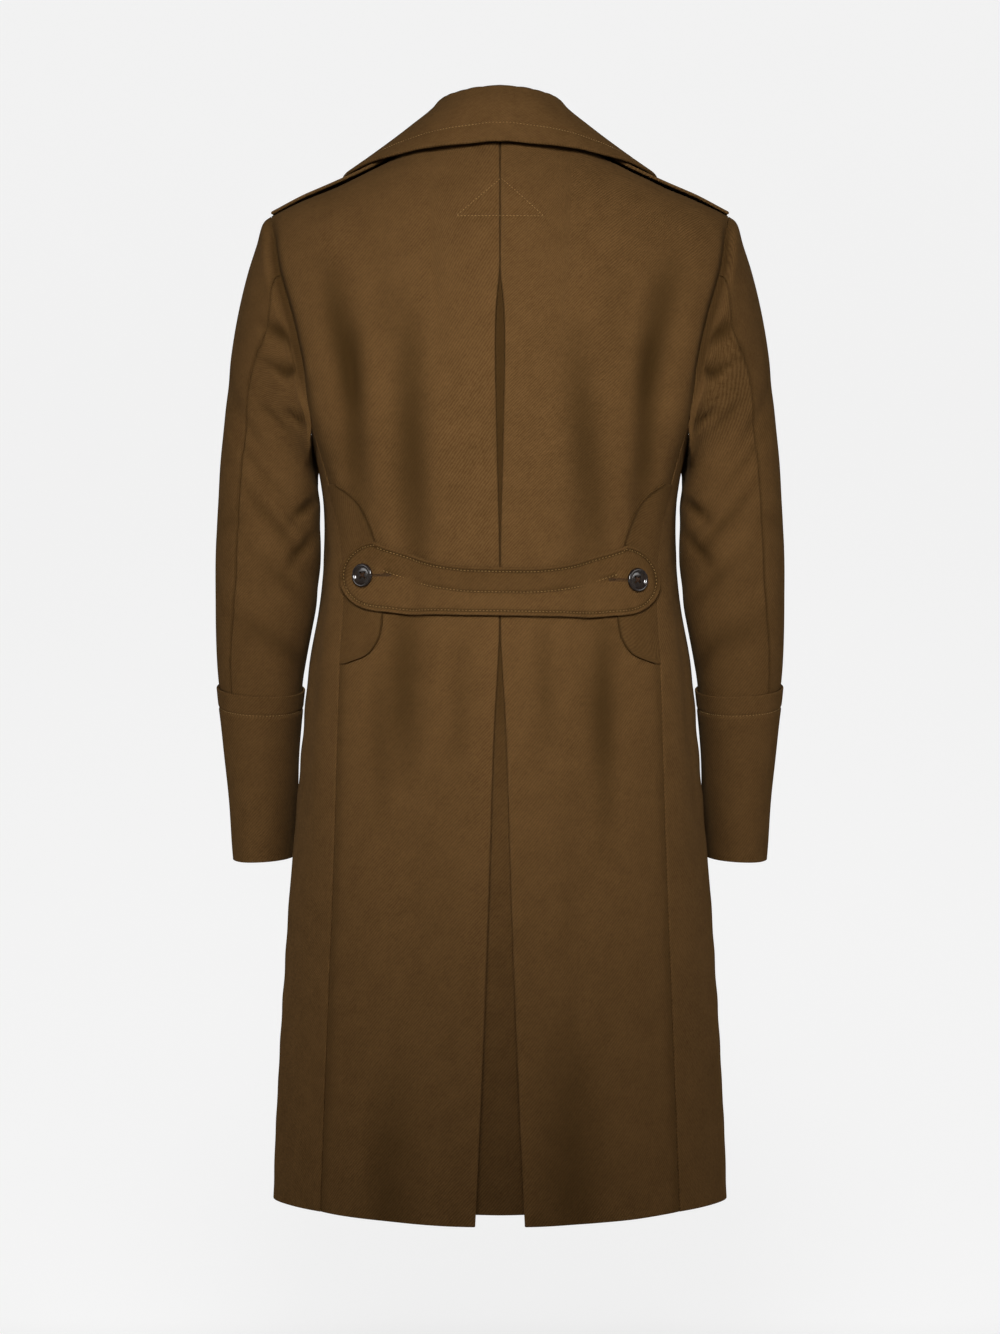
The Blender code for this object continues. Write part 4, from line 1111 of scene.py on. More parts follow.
def sewing_thread(name, colour):
    """Sewing thread of a colour, with a slight twist."""
    if name in bpy.data.materials:
        return bpy.data.materials[name]
    material, wires, shader = new_material(name, Specular_IOR_Level=0.1)
    whole = wires.node("ShaderNodeTexCoord", output="Object")
    twist = noise(wires, whole, "twist")
    dark = [part * THREAD_DARK for part in colour]
    blend_colours(wires, THREAD_SHARE + twist * TWIST_SHARE, dark, colour).feed(shader, "Base Color")
    (THREAD_ROUGHNESS + twist * TWIST_ROUGHNESS).feed(shader, "Roughness")
    return material


def slit_shade(context):
    """Cloth in the shade of a buttonhole's slit."""
    material, wires, shader = new_material("slit_shade", Specular_IOR_Level=0.1)
    whole = wires.node("ShaderNodeTexCoord", output="Object")
    colour = [part * SLIT_SHARE for part in context.scene.coat_colours.cloth_dark]
    dark = [part * SLIT_DARK for part in colour]
    share = MIDDLE_SHARE + noise(wires, whole, "slit")
    blend_colours(wires, share, dark, colour).feed(shader, "Base Color")
    return material


def dark_horn(context):
    """Polished dark horn with paler streaks."""
    name = "polished_horn"
    if name in bpy.data.materials:
        return bpy.data.materials[name]
    colours = context.scene.coat_colours
    material, wires, shader = new_material(name, Specular_IOR_Level=0.30)
    whole = wires.node("ShaderNodeTexCoord", output="Object")
    drawn = wires.node("ShaderNodeVectorMath", {"operation": "MULTIPLY"}, {0: whole, 1: HORN_DRAWN})
    streak = noise(wires, drawn, "streak")
    pore = noise(wires, whole, "pore")
    share = HORN_SHARE + streak * STREAK_SHARE
    blend_colours(wires, share, colours.horn, colours.horn_streak).feed(shader, "Base Color")
    (HORN_ROUGHNESS + streak * STREAK_ROUGHNESS + pore * PORE_ROUGHNESS).feed(shader, "Roughness")
    sockets = {"Height": pore + streak * STREAK_RELIEF, "Strength": HORN_BUMP, "Distance": PORE_DEPTH}
    wires.node("ShaderNodeBump", sockets=sockets).feed(shader, "Normal")
    return material


def studio_paint(context):
    """Plain pale paint of the studio floor and backdrop, which also glow with their own light, brighter
    towards the coat's front.
    """
    material, wires, shader = new_material("studio_paint", Specular_IOR_Level=0.0, Emission_Strength=1.0)
    colours = context.scene.coat_colours
    whole = wires.node("ShaderNodeTexCoord", output="Object")
    speck = noise(wires, whole, "speck")
    dark = [part * FLOOR_DARK for part in colours.floor]
    blend_colours(wires, MIDDLE_SHARE + speck, dark, colours.floor).feed(shader, "Base Color")
    (FLOOR_ROUGHNESS + speck * SPECK_ROUGHNESS).feed(shader, "Roughness")
    # Own glow of the backdrop: brighter towards +Y, the coat's front, dimmer on the other side
    forward = wires.node("ShaderNodeSeparateXYZ", sockets={0: whole}, output=1)
    behind = [part * BEHIND_SHARE for part in colours.glow]
    share = MIDDLE_SHARE + forward * GLOW_SLOPE
    blend_colours(wires, share, behind, colours.glow).feed(shader, "Emission Color")
    return material


def coat_collection():
    """Collection of the coat's pieces."""
    name = "overcoat"
    if name not in bpy.data.collections:
        group = bpy.data.collections.new(name)
        bpy.context.scene.collection.children.link(group)
    return bpy.data.collections[name]


def add_piece(name, mesh, material, where=None):
    """Object of one piece at its place, which rides on the coat."""
    mesh.materials.append(material)
    piece = bpy.data.objects.new(name, mesh)
    coat_collection().objects.link(piece)
    if where:
        piece.matrix_world = where
    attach(piece, "root")
    return piece


def add_cloth(context, node, faces, ring=False, crossways=False):
    """Cloth piece that stands for a solid, which is hidden."""
    mesh = wall_mesh(f"{node}_cloth", *faces, ring=ring, crossways=crossways)
    piece = add_piece(f"{node}_cloth", mesh, wool_cloth(context))
    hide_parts(node)
    return piece


def thread_mesh(name, centre, normal, radius):
    """Threads as one mesh; each is a row of centres with the cloth's outward directions."""
    count, rings = centre.shape[:2]
    along = unit(np.gradient(centre, axis=1))
    side = unit(np.cross(normal, along))
    up = np.cross(along, side)
    swell = np.sin(np.linspace(0, math.pi, rings))[None, :, None]
    thick = radius * (THREAD_END + (1 - THREAD_END) * np.sqrt(swell))
    core = centre + normal * radius * (swell - STITCH_SINK)
    angle = 2 * math.pi * np.arange(THREAD_SIDES) / THREAD_SIDES
    ring = side[:, :, None] * np.cos(angle)[:, None] + up[:, :, None] * np.sin(angle)[:, None]
    points = core[:, :, None] + ring * thick[..., None]
    place = np.arange(count * rings * THREAD_SIDES).reshape(count, rings, THREAD_SIDES)
    turned = np.roll(place, -1, axis=2)
    walls = np.stack([place[:, :-1], turned[:, :-1], turned[:, 1:], place[:, 1:]], axis=-1)
    faces = walls.reshape(-1, 4).tolist()
    faces += place[:, 0, ::-1].tolist() + place[:, -1].tolist()
    mesh = bpy.data.meshes.new(name)
    mesh.from_pydata(points.reshape(-1, 3).tolist(), [], faces)
    mesh.shade_smooth()
    return mesh


def stitch_centres(points, normals, length, gap):
    """Centres and outward directions of running stitches along a path."""
    travelled = travel(points)
    count = int((travelled[-1] + gap) // (length + gap))
    spare = travelled[-1] - count * (length + gap) + gap
    starts = np.arange(count) * (length + gap) + spare / 2
    at = starts[:, None] + length * np.linspace(0, 1, STITCH_RINGS)
    picked = []
    for grid in (points, normals):
        picked.append(np.stack([np.interp(at, travelled, grid[:, axis]) for axis in range(3)], axis=-1))
    return picked[0], unit(picked[1])


def joined(runs):
    """Rows of centres and outward directions of several sets of threads, as one set."""
    return [np.concatenate([run[index] for run in runs]) for index in (0, 1)]


def sew(context, name, runs):
    """Topstitching along runs, each a path of points with the cloth's outward directions."""
    sizes = context.scene.coat_sizes
    made = [stitch_centres(*run, sizes.stitch_length, sizes.stitch_gap) for run in runs]
    mesh = thread_mesh(name, *joined(made), sizes.stitch_width / 2)
    thread = sewing_thread("ochre_thread", context.scene.coat_colours.thread)
    return add_piece(name, mesh, thread)


def line_inside(outer, inner, distance):
    """Path on a wall's outer face, a distance in from its last column."""
    points, normals = [], []
    for row, out in zip(outer[:, ::-1], unit(outer - inner)[:, ::-1]):
        travelled = travel(row)
        points.append([np.interp(distance, travelled, row[:, axis]) for axis in range(3)])
        normals.append([np.interp(distance, travelled, out[:, axis]) for axis in range(3)])
    return np.array(points), unit(np.array(normals))


def body_line(face, x, z, out):
    """Path over the body through places x and z, moved out from the surface."""
    q, v = locate(face, x, z)
    return on_body(face, x, z, out), outward(face, q, v)


def neck_row(q):
    """Highest row of the back at q: the shoulder ridge, or the neckline inside the neck width."""
    x = np.abs(q) * TIP_X
    line = NECK_BACK * np.sqrt(np.clip(1 - (x / NECK_HALF) ** 2, 0.0, 1.0))
    reach = ring_depth(BACK, q * row_edge(BACK, 0.0), UNDERARM)
    turn = np.arccos(np.clip(line / reach, 0.0, 1.0) ** (1 / ARCH)) * 2 / math.pi
    return np.minimum(turn, RIDGE_SHARE)


def pleat_half(v):
    """Half opening of the centre pleat at row v, measured at the centre of the back."""
    height = shell(BACK, 0.0, v)[..., 2]
    return np.maximum(smooth(PLEAT_OPENING, "half_opening", height), SEAM / 2)


def back_section(v):
    """Section of a half back at row v: x with the depths of its outer and inner faces, from the end of the
    pleat's return, round the folded edge, to the side."""
    half = pleat_half(v)
    outer = PLEAT_TURN + WALL / 2
    inner = PLEAT_TURN - WALL / 2
    start = half + outer
    section = []
    for share in np.linspace(1, 0, RETURN_LINES, endpoint=False):
        x = start + PLEAT_RETURN * share
        sink = PLEAT_SPREAD * half * share
        section.append((x, x, -2 * outer - sink, -2 * PLEAT_TURN - sink))
    for angle in np.linspace(math.pi, 0, TURN_LINES):
        ahead, level = np.sin(angle), np.cos(angle)
        places = start - outer * ahead, start - inner * ahead
        section.append((*places, outer * level - outer, inner * level - outer))
    side = row_edge(BACK, v) - SEAM / 2
    for share in np.linspace(1, 0, BACK_LINES)[1:] ** BACK_CROWDING:
        x = side + (start - side) * share
        section.append((x, x, 0.0, -WALL))
    return np.array(section)


def back_faces(side):
    """Outer and inner grids of a half back, and its painted shade in creases and beside its seams."""
    outer, inner, shades = [], [], []
    for v in body_rows():
        section = back_section(v)
        edge = row_edge(BACK, v)
        for grid, x_column, out_column in ((outer, 0, 2), (inner, 1, 3)):
            q = section[:, x_column] / edge
            row = v * neck_row(q) if v > 0 else along_row(v, q)
            grid.append(body(BACK, side * q, row, section[:, out_column]))
        shades.append(seam_shade(section[:, 0] / edge, np.full(len(section), v)))
    outer = np.array(outer)
    return outer, np.array(inner), np.maximum(crease_shade(BACK, outer), np.array(shades))


def underlay_faces():
    """Outer and inner grids of the strip behind the pleat, and the painted shade on it, deep down to just
    below the belt and fading out lower.
    """
    outer, inner = [], []
    for v in body_rows():
        half = pleat_half(v)
        sink = 2 * WALL + 2 * PLEAT_TURN + LAY + PLEAT_SPREAD * half
        q = (half + PLEAT_RETURN) * np.linspace(-1, 1, UNDERLAY_LINES) / row_edge(BACK, v)
        row = v * neck_row(q) if v > 0 else along_row(v, q) + UNDERLAY_RISE * hem_share(v)
        outer.append(body(BACK, q, row, np.full_like(q, -sink)))
        inner.append(body(BACK, q, row, np.full_like(q, -sink - WALL)))
    outer = np.array(outer)
    # Painted shade of the pleat's gap, fading out below the belt
    deep = ease((outer[..., 2] - GAP_LOW) / GAP_FADE)
    return outer, np.array(inner), UNDERLAY_SHADE + (GAP_SHADE - UNDERLAY_SHADE) * deep


def side_point(side, share, height, out):
    """Side panel point, from the side-back seam (0) round to the side-front seam (1)."""

    def plain(at, z):
        width = smooth(BODY_RINGS, "half_width", z)
        turns = []
        for face in (BACK, FRONT):
            seam = smooth(PANEL_EDGE[face], "half_width", z) / width
            turns.append(np.arcsin(seam ** (ring_power(face, z) / 2)))
        angle = turns[0] + (math.pi - turns[1] - turns[0]) * at
        cosine = np.cos(angle)
        power = np.where(cosine >= 0, ring_power(BACK, z), ring_power(FRONT, z))
        depths = [smooth(BODY_RINGS, DEPTH_COLUMN[face], z) for face in (BACK, FRONT)]
        depth = np.where(cosine >= 0, *depths)
        x = width * np.sin(angle) ** (2 / power)
        y = -np.sign(cosine) * depth * np.abs(cosine) ** (2 / power)
        return np.stack([side * x, y, z], axis=-1)

    share, height = np.broadcast_arrays(np.asarray(share, float), np.asarray(height, float))
    across = plain(share + STEP, height) - plain(share - STEP, height)
    along = plain(share, height + STEP) - plain(share, height - STEP)
    return plain(share, height) + side * unit(np.cross(across, along)) * out


def underarm_dip(share):
    """How far the side panel's top edge dips under the sleeve."""
    return UNDERARM_DIP * np.sin(math.pi * share)


def side_fold(share, z):
    """How far creases and unevenness pull a side panel in, none at its seams."""
    depth = ripple(share * SIDE_WIDTH, z, SIDE_SEED)
    for middle, z_top, z_low, half_share, deep in SIDE_CREASES:
        along = np.clip((z_top - z) / (z_top - z_low), 0.0, 1.0)
        depth += deep * np.sin(math.pi * along) * bump(share, middle, half_share)
    return depth * np.sqrt(np.sin(math.pi * share)) * ease((UNDERARM - z) / DIP_BAND)


def side_faces(side):
    """Outer and inner grids of a side panel, tucked under the front at its seam."""
    bend = np.linspace(1 - TUCK_BEND, 1, TUCK_LINES)[1:]
    around = np.concatenate([np.linspace(SIDE_INSET, 1 - TUCK_BEND, SIDE_LINES), bend, [1 + TUCK_TAIL]])
    shares = np.minimum(around, 1.0)
    sink = TUCK_SINK * ease((shares - 1 + TUCK_BEND) / TUCK_BEND)
    outer, inner = [], []
    for z in np.linspace(HEM, UNDERARM, LOWER_LINES):
        dip = underarm_dip(shares) * ease((z - UNDERARM + DIP_BAND) / DIP_BAND)
        height = z - dip + HEM_RISE * hem_share(z - UNDERARM)
        fold = (side_fold(shares, height) + sink)[:, None]
        outer.append(side_point(side, around, height, -fold))
        inner.append(side_point(side, around, height, -fold - WALL))
    return np.array(outer), np.array(inner)


def roll_x(z):
    """Own-side x of a front's edge or, above the break, of its roll line."""
    return -LAP + (GORGE_X + LAP) * np.clip((z - BREAK_Z) / (GORGE_Z - BREAK_Z), 0.0, ROLL_REACH)


def front_edge_x(v):
    """Own-side x of a front's edge at row v."""
    x = np.asarray(0.0)
    for _ in range(SETTLE_STEPS):
        z = shell(FRONT, x / row_edge(FRONT, v), v)[..., 2]
        x = roll_x(z)
    return float(x)


def under_share(side, x, z):
    """How far the right front is sunk under the left one, 0 to 1, at own-side x."""
    if side == LEFT:
        return np.zeros_like(x)
    cover = -roll_x(z)
    return ease((cover + UNDER_MARGIN + UNDER_SLOPE - x) / UNDER_SLOPE)


def front_faces(side):
    """Outer and inner grids of a front, from its side seam to its edge or roll line, and the painted shade
    in its creases.
    """
    outer, inner = [], []
    for v in body_rows():
        row = min(v, RIDGE_SHARE)
        edge = front_edge_x(row)
        x = np.linspace(row_edge(FRONT, row) - SEAM / 2, edge, FRONT_LINES)
        q = x / row_edge(FRONT, row)
        sink = UNDER_DEPTH * under_share(side, x, shell(FRONT, q, row)[..., 2])
        level = along_row(row, q)
        outer.append(body(FRONT, side * q, level, -sink))
        inner.append(body(FRONT, side * q, level, -sink - WALL))
    outer = np.array(outer)
    return outer, np.array(inner), crease_shade(FRONT, outer)


def lapel_faces(side):
    """Outer and inner grids of a lapel, rolled over the front's edge and out to its own edge."""
    middle = []
    roll_out = LAY + LAPEL_WALL / 2
    top = LAPEL_LAY + LAPEL_WALL / 2
    turn = np.linspace(0, math.pi / 2, ROLL_LINES, endpoint=False)
    across = np.linspace(0, 1, LAPEL_FALL_LINES)
    for share in np.linspace(0, 1, LAPEL_LINES):
        roll_z = LAPEL_TOP_Z + (BREAK_Z - LAPEL_TOP_Z) * share
        roll = float(roll_x(roll_z))
        edge_x = float(smooth(LAPEL_EDGE, "x", share))
        edge_z = float(smooth(LAPEL_EDGE, "height", share))
        x = np.concatenate([roll - roll_out * np.cos(turn), roll + (edge_x - roll) * across])
        z = np.concatenate([np.full_like(turn, roll_z), roll_z + (edge_z - roll_z) * across])
        under = under_share(side, x, z)
        rolled = (top + WALL / 2) * np.sin(turn) - WALL / 2
        bulged = top + LAPEL_BULGE * np.sin(math.pi * across) * (1 - under[ROLL_LINES:])
        out = np.concatenate([rolled, bulged]) - UNDER_DEPTH * under
        middle.append(on_body(FRONT, side * x, z, out))
    return wall_about(np.array(middle), LAPEL_WALL, FORWARD)


def wall_about(middle, wall, way, groove=0.0):
    """Outer and inner grids about a middle surface, the outer one on the side that a direction points to."""
    normals = grid_normals(middle)
    normals *= np.sign(np.sum(normals * way))
    return middle + normals * (wall / 2 - np.expand_dims(groove, -1)), middle - normals * wall / 2


def collar_base(share):
    """Foot of the collar's stand: along the back neckline, then down the front's roll line."""
    if share <= SHOULDER_SHARE:
        q = NECK_HALF / TIP_X * math.sin(share / SHOULDER_SHARE * math.pi / 2)
        row = float(neck_row(np.asarray(q)))
        return shell(BACK, q, row) + COLLAR_LIFT * UP
    down = (share - SHOULDER_SHARE) / (1 - SHOULDER_SHARE)
    gorge_row = float(locate(FRONT, np.asarray(GORGE_X), np.asarray(GORGE_Z))[1])
    v = RIDGE_SHARE + (gorge_row - RIDGE_SHARE) * down
    x = front_edge_x(v) - COLLAR_WALL / 2 - LAY
    return shell(FRONT, x / float(row_edge(FRONT, v)), v) + COLLAR_LIFT * UP


def through(points, count):
    """Smooth curve of a number of points through given points."""
    travelled = travel(points)
    places = travelled / travelled[-1]
    table = [("place", "x", "y", "z")] + [(place, *point) for place, point in zip(places, points)]
    at = np.linspace(0, 1, count)
    return np.stack([smooth(table, axis, at) for axis in "xyz"], axis=-1)


def collar_section(share, side):
    """Section of the collar: stand, rolled fold and fall."""
    fold = np.array([float(smooth(COLLAR, f"fold_{axis}", share)) for axis in "xyz"])
    edge_x, edge_y = (float(smooth(COLLAR, f"edge_{axis}", share)) for axis in "xy")
    lift = float(smooth(COLLAR, "edge_lift", share))
    edge = np.array((edge_x, edge_y, float(shoulder_height(edge_x, edge_y)) + lift))
    base = collar_base(share)
    away = unit((edge - base) * LEVEL)
    low = -COLLAR_ROLL * UP
    stand = fold - away * COLLAR_ROLL_WIDTH + low
    fall = fold + away * COLLAR_ROLL_WIDTH + low
    swell = COLLAR_SWELL * (1 - ease(share / SHOULDER_SHARE))
    bulge = (away + UP) * swell
    section = [base, (base + stand) / 2, stand, fold, fall]
    section += [fall + (edge - fall) * part + bulge * bow for part, bow in FALL_BOWS]
    section.append(edge)
    return mirrored(through(np.array(section), COLLAR_SECTION_LINES), side)


def collar_faces():
    """Outer and inner grids of the collar, with a groove under its topstitching."""
    middle = []
    for step in range(-COLLAR_LINES, COLLAR_LINES + 1):
        middle.append(collar_section(abs(step) / COLLAR_LINES, -1.0 if step < 0 else 1.0))
    middle = np.array(middle)
    inside = np.array([travel(section[::-1])[::-1] for section in middle])
    groove = GROOVE_DEPTH * bump(inside, COLLAR_STITCH, GROOVE_WIDTH)
    normals = grid_normals(middle)
    normals *= np.sign(normals[len(middle) // 2, -1, 2])
    return middle + normals * (COLLAR_WALL / 2 - groove[..., None]), middle - normals * COLLAR_WALL / 2


def armhole():
    """Points round the right armhole from the shoulder tip down the back, along the underarm and up the
    front, each with the direction in which the sleeve leaves it."""
    points, leave = [], []
    for face, rows in ((BACK, np.linspace(1, 0, UPPER_LINES)), (FRONT, np.linspace(0, 1, UPPER_LINES))):
        edge = shell(face, np.ones_like(rows), rows)
        way = unit(edge - shell(face, np.full_like(rows, NEAR_EDGE), rows))
        corner = 0 if face == FRONT else len(rows) - 1
        way[corner] = unit(way[corner] + UP)
        if face == FRONT:
            shares = np.linspace(0, 1, UNDERARM_LINES + 2)[1:-1]
            points += list(side_point(RIGHT, shares, UNDERARM - underarm_dip(shares), 0.0))
            leave += [UP] * UNDERARM_LINES
            edge, way = edge[:-1], way[:-1]
        points += list(edge)
        leave += list(way)
    return np.array(points), np.array(leave)


def sleeve_angles(points):
    """Even angles of the armhole's points: 0 at the shoulder tip, 180 degrees at the underarm."""
    travelled = travel(np.concatenate([points, points[:1]]))
    lowest = UPPER_LINES + (UNDERARM_LINES - 1) / 2
    half = np.interp(lowest, np.arange(len(travelled)), travelled)
    back = math.pi * travelled[:-1] / half
    front = math.pi + math.pi * (travelled[:-1] - half) / (travelled[-1] - half)
    return np.where(travelled[:-1] <= half, back, front)


def seam_columns():
    """Places in the armhole's points of the sleeve's back seam and front seam."""
    last = UPPER_LINES - 1
    back = round((1 - BACK_SEAM_V) * last)
    front = UPPER_LINES + UNDERARM_LINES + round(FRONT_SEAM_V * last)
    return back, front


def sleeve_oval(angle, along):
    """Oval of the sleeve at a distance down from its head."""
    outer = np.stack([smooth(SLEEVE_RINGS, column, along) for column in ("outer_x", "outer_z")], axis=-1)
    inner = np.stack([smooth(SLEEVE_RINGS, column, along) for column in ("inner_x", "inner_z")], axis=-1)
    cosine = np.sign(np.cos(angle)) * np.abs(np.cos(angle)) ** (2 / SLEEVE_POWER)
    sine = np.sign(np.sin(angle)) * np.abs(np.sin(angle)) ** (2 / SLEEVE_POWER)
    flat = (outer + inner) / 2 + (outer - inner) / 2 * cosine[..., None]
    forward = -smooth(SLEEVE_RINGS, "half_depth", along) * sine
    y = smooth(SLEEVE_RINGS, "centre_y", along) + forward
    z = flat[..., 1] + smooth(SLEEVE_RINGS, "lean", along) * forward
    return np.stack([flat[..., 0], y, z], axis=-1)


def turned_angle(angles, angle, along):
    """Angles moved round so that the back seam follows its line down the sleeve."""
    start, end = angles[list(seam_columns())]
    seam = np.radians(smooth(BACK_SEAM_ANGLE, "degrees", along))
    upper = angle * seam / start
    under = seam + (angle - start) * (end - seam) / (end - start)
    return np.where(angle <= start, upper, np.where(angle <= end, under, angle))


def crease_depth(angle, along, creases):
    """How far creases that run round a sleeve or cuff pull it in."""
    depth = np.zeros_like(angle)
    for centre, degrees, half_along, half_degrees, slant, deep in creases:
        turn = np.degrees(angle) - degrees
        down = (along - centre - slant * turn) / half_along
        depth += deep * np.exp(-down * down - (turn / half_degrees) ** 2)
    return depth


def sleeve_fold(angle, along, creases):
    """How far creases and unevenness pull a sleeve or cuff in."""
    uneven = ripple(np.cos(angle) * SLEEVE_REACH, along + np.sin(angle) * SLEEVE_REACH, SLEEVE_SEED)
    return uneven + crease_depth(angle, along, creases)


def sleeve_faces():
    """Outer and inner grids of the whole right sleeve, and its painted shade in creases and beside the
    armhole.
    """
    points, leave = armhole()
    angles = sleeve_angles(points)
    top = np.zeros_like(angles)
    spare = points + leave * SLEEVE_SEAM - sleeve_oval(turned_angle(angles, angles, top), top)
    rows = SLEEVE_RINGS[-1][0] * np.linspace(0, 1, SLEEVE_LINES) ** SLEEVE_CROWDING
    along, angle = np.meshgrid(rows, angles, indexing="ij")
    fade = 1 - ease(along / SLEEVE_BLEND)
    plain = sleeve_oval(turned_angle(angles, angle, along), along) + spare * fade[..., None]
    around = np.roll(plain, -1, axis=1) - np.roll(plain, 1, axis=1)
    normals = unit(np.cross(around, np.gradient(plain, axis=0)))
    normals[0] = unit(normals[0] - leave * np.sum(normals[0] * leave, axis=-1, keepdims=True))
    away = plain - plain.mean(axis=1, keepdims=True)
    normals *= np.sign(np.sum(normals * away, axis=(1, 2)))[:, None, None]
    height = np.linspace(0, 1, UPPER_LINES)
    rise = ease(height / ARMHOLE_RISE) * ease((1 - height) / ARMHOLE_FADE)
    sewn = np.concatenate([rise[::-1], np.zeros(UNDERARM_LINES), rise[:-1]])
    depth = sleeve_fold(angle, along, SLEEVE_FOLDS + SLEEVE_CREASES) * ease(along / SLEEVE_SEWN)
    depth += ARMHOLE_ROLL * bump(along, 0.0, SLEEVE_ROLL_REACH) * sewn
    outer = plain - normals * depth[..., None]
    sunk = hollow(crease_depth(angle, along, SLEEVE_CREASES))
    # Painted shade in the sleeve's creases and beside the armhole seam
    shades = np.maximum(sunk, ARMHOLE_SHADE * bump(along, 0.0, ARMHOLE_REACH) * sewn)
    return outer, outer - normals * WALL, shades


def sleeve_piece_faces(upper):
    """Grids and painted shade of the top or under piece of the right sleeve, drawn in by half a seam's gap
    at its seams."""
    back, front = seam_columns()
    *grids, painted_shades = sleeve_faces()
    count = painted_shades.shape[1]
    columns = np.arange(front, count + back + 1) % count if upper else np.arange(back, front + 1)
    shades = painted_shades[:, columns].copy()
    # Painted shade along both seams of the piece
    shades[:, [0, -1]] = np.maximum(shades[:, [0, -1]], SEAM_SHADE)
    made = [shades]
    for grid in grids:
        piece = grid[:, columns].copy()
        for edge, beside in ((0, 1), (-1, -2)):
            piece[:, edge] += unit(piece[:, beside] - piece[:, edge]) * SLEEVE_SEAM / 2
        made.insert(-1, piece)
    return made


def mirrored(points, side):
    """Right-hand points moved to a side of the coat."""
    return points * np.array((side, 1.0, 1.0))


def cuff_faces():
    """Outer and inner rings of the right turn-back cuff, with a groove under its stitching."""
    rows = np.linspace(CUFF_TOP, CUFF_HEM, CUFF_LINES)
    along, angle = np.meshgrid(rows, np.linspace(0, 2 * math.pi, CUFF_SIDES, endpoint=False), indexing="ij")
    oval = sleeve_oval(angle, along)
    away = unit((oval - oval.mean(axis=1, keepdims=True)) * LEVEL)
    fold = sleeve_fold(angle, along, CUFF_CREASES) * ease((along - CUFF_TOP) / CUFF_SEWN)
    inner = oval + away * (LAY - fold)[..., None]
    groove = GROOVE_DEPTH * bump(along, CUFF_STITCH, GROOVE_WIDTH)
    return inner + away * (CUFF_WALL - groove)[..., None], inner


def strap_faces(side):
    """Outer and inner grids of a shoulder strap, from the sleeve seam to under the collar."""
    middle = []
    place = np.linspace(-1, 1, STRAP_SECTION_LINES)
    for share in np.linspace(0, 1, STRAP_LINES):
        x = TIP_X - 2 * SEAM + (STRAP_NECK_X - TIP_X) * share
        y = STRAP_HALF * (1 - STRAP_TAPER * share) * place
        lift = STRAP_SEWN_LIFT + (STRAP_LIFT - STRAP_SEWN_LIFT) * ease(share / STRAP_RISE_SHARE)
        top = shoulder_height(np.full_like(y, x), np.zeros_like(y))
        bent = shoulder_height(np.full_like(y, x), y)
        height = top + STRAP_BEND * (bent - top) + lift
        middle.append(np.stack([np.full_like(y, x), y, height], axis=-1))
    inside = STRAP_HALF * (1 - np.abs(place))
    groove = GROOVE_DEPTH * bump(inside, STRAP_STITCH, GROOVE_WIDTH)
    return wall_about(mirrored(np.array(middle), side), STRAP_WALL, UP, groove)


def belt_edges(x):
    """Top and bottom of the half belt at x, before its tilt, with round ends."""
    reach = np.abs(x)
    chord = np.sqrt(np.clip(BELT_TIP_RADIUS**2 - (reach - BELT_TIP_X) ** 2, 0.0, None))
    top = np.where(reach > BELT_TIP_X, BELT_TIP_Z + chord, smooth(BELT_OUTLINE, "top", reach))
    bottom = np.where(reach > BELT_TIP_X, BELT_TIP_Z - chord, smooth(BELT_OUTLINE, "bottom", reach))
    return top, bottom


def belt_groove(x, z):
    """Depth of the grooves under the half belt's stitching, at a place before the tilt."""
    top, bottom = belt_edges(x)
    inside = np.minimum(top - z, z - bottom)
    end = BELT_TIP_RADIUS - np.hypot(np.abs(x) - BELT_TIP_X, z - BELT_TIP_Z)
    inside = np.where(np.abs(x) > BELT_TIP_X, end, inside)
    middle = bump(top - z, BELT_MIDDLE_DROP, GROOVE_WIDTH) * (np.abs(x) < BELT_MIDDLE_REACH)
    return GROOVE_DEPTH * (bump(inside, BELT_EDGE_STITCH, GROOVE_WIDTH) + middle)


def belt_faces():
    """Outer and inner grids of the half belt, and its painted shade: light over all, more on its top band,
    most in the grooves.
    """
    turn = np.radians(np.linspace(0, BELT_TIP_DEGREES, BELT_TIP_LINES))[1:]
    tip = BELT_TIP_X + BELT_TIP_RADIUS * np.sin(turn)
    columns = np.concatenate([-tip[::-1], np.linspace(-BELT_TIP_X, BELT_TIP_X, BELT_LINES), tip])
    low = np.array(BELT_INSETS) / BELT_HEIGHT
    share, x = np.meshgrid(np.concatenate([low, BELT_MIDDLE_SHARES, 1 - low[::-1]]), columns, indexing="ij")
    top, bottom = belt_edges(x)
    z = bottom + (top - bottom) * share
    level = z - BELT_TILT * x
    groove = belt_groove(x, z)
    outer = on_body(BACK, x, level, BELT_OUT + BELT_WALL - groove)
    # Painted shade: light over the belt, more above its middle stitching, most in the stitching grooves
    shades = BELT_SHADE + BELT_TOP_SHADE * ease((z - top + BELT_MIDDLE_DROP) / BELT_EDGE_STITCH)
    shades += groove / GROOVE_DEPTH * ARMHOLE_SHADE
    return outer, on_body(BACK, x, level, BELT_OUT), shades


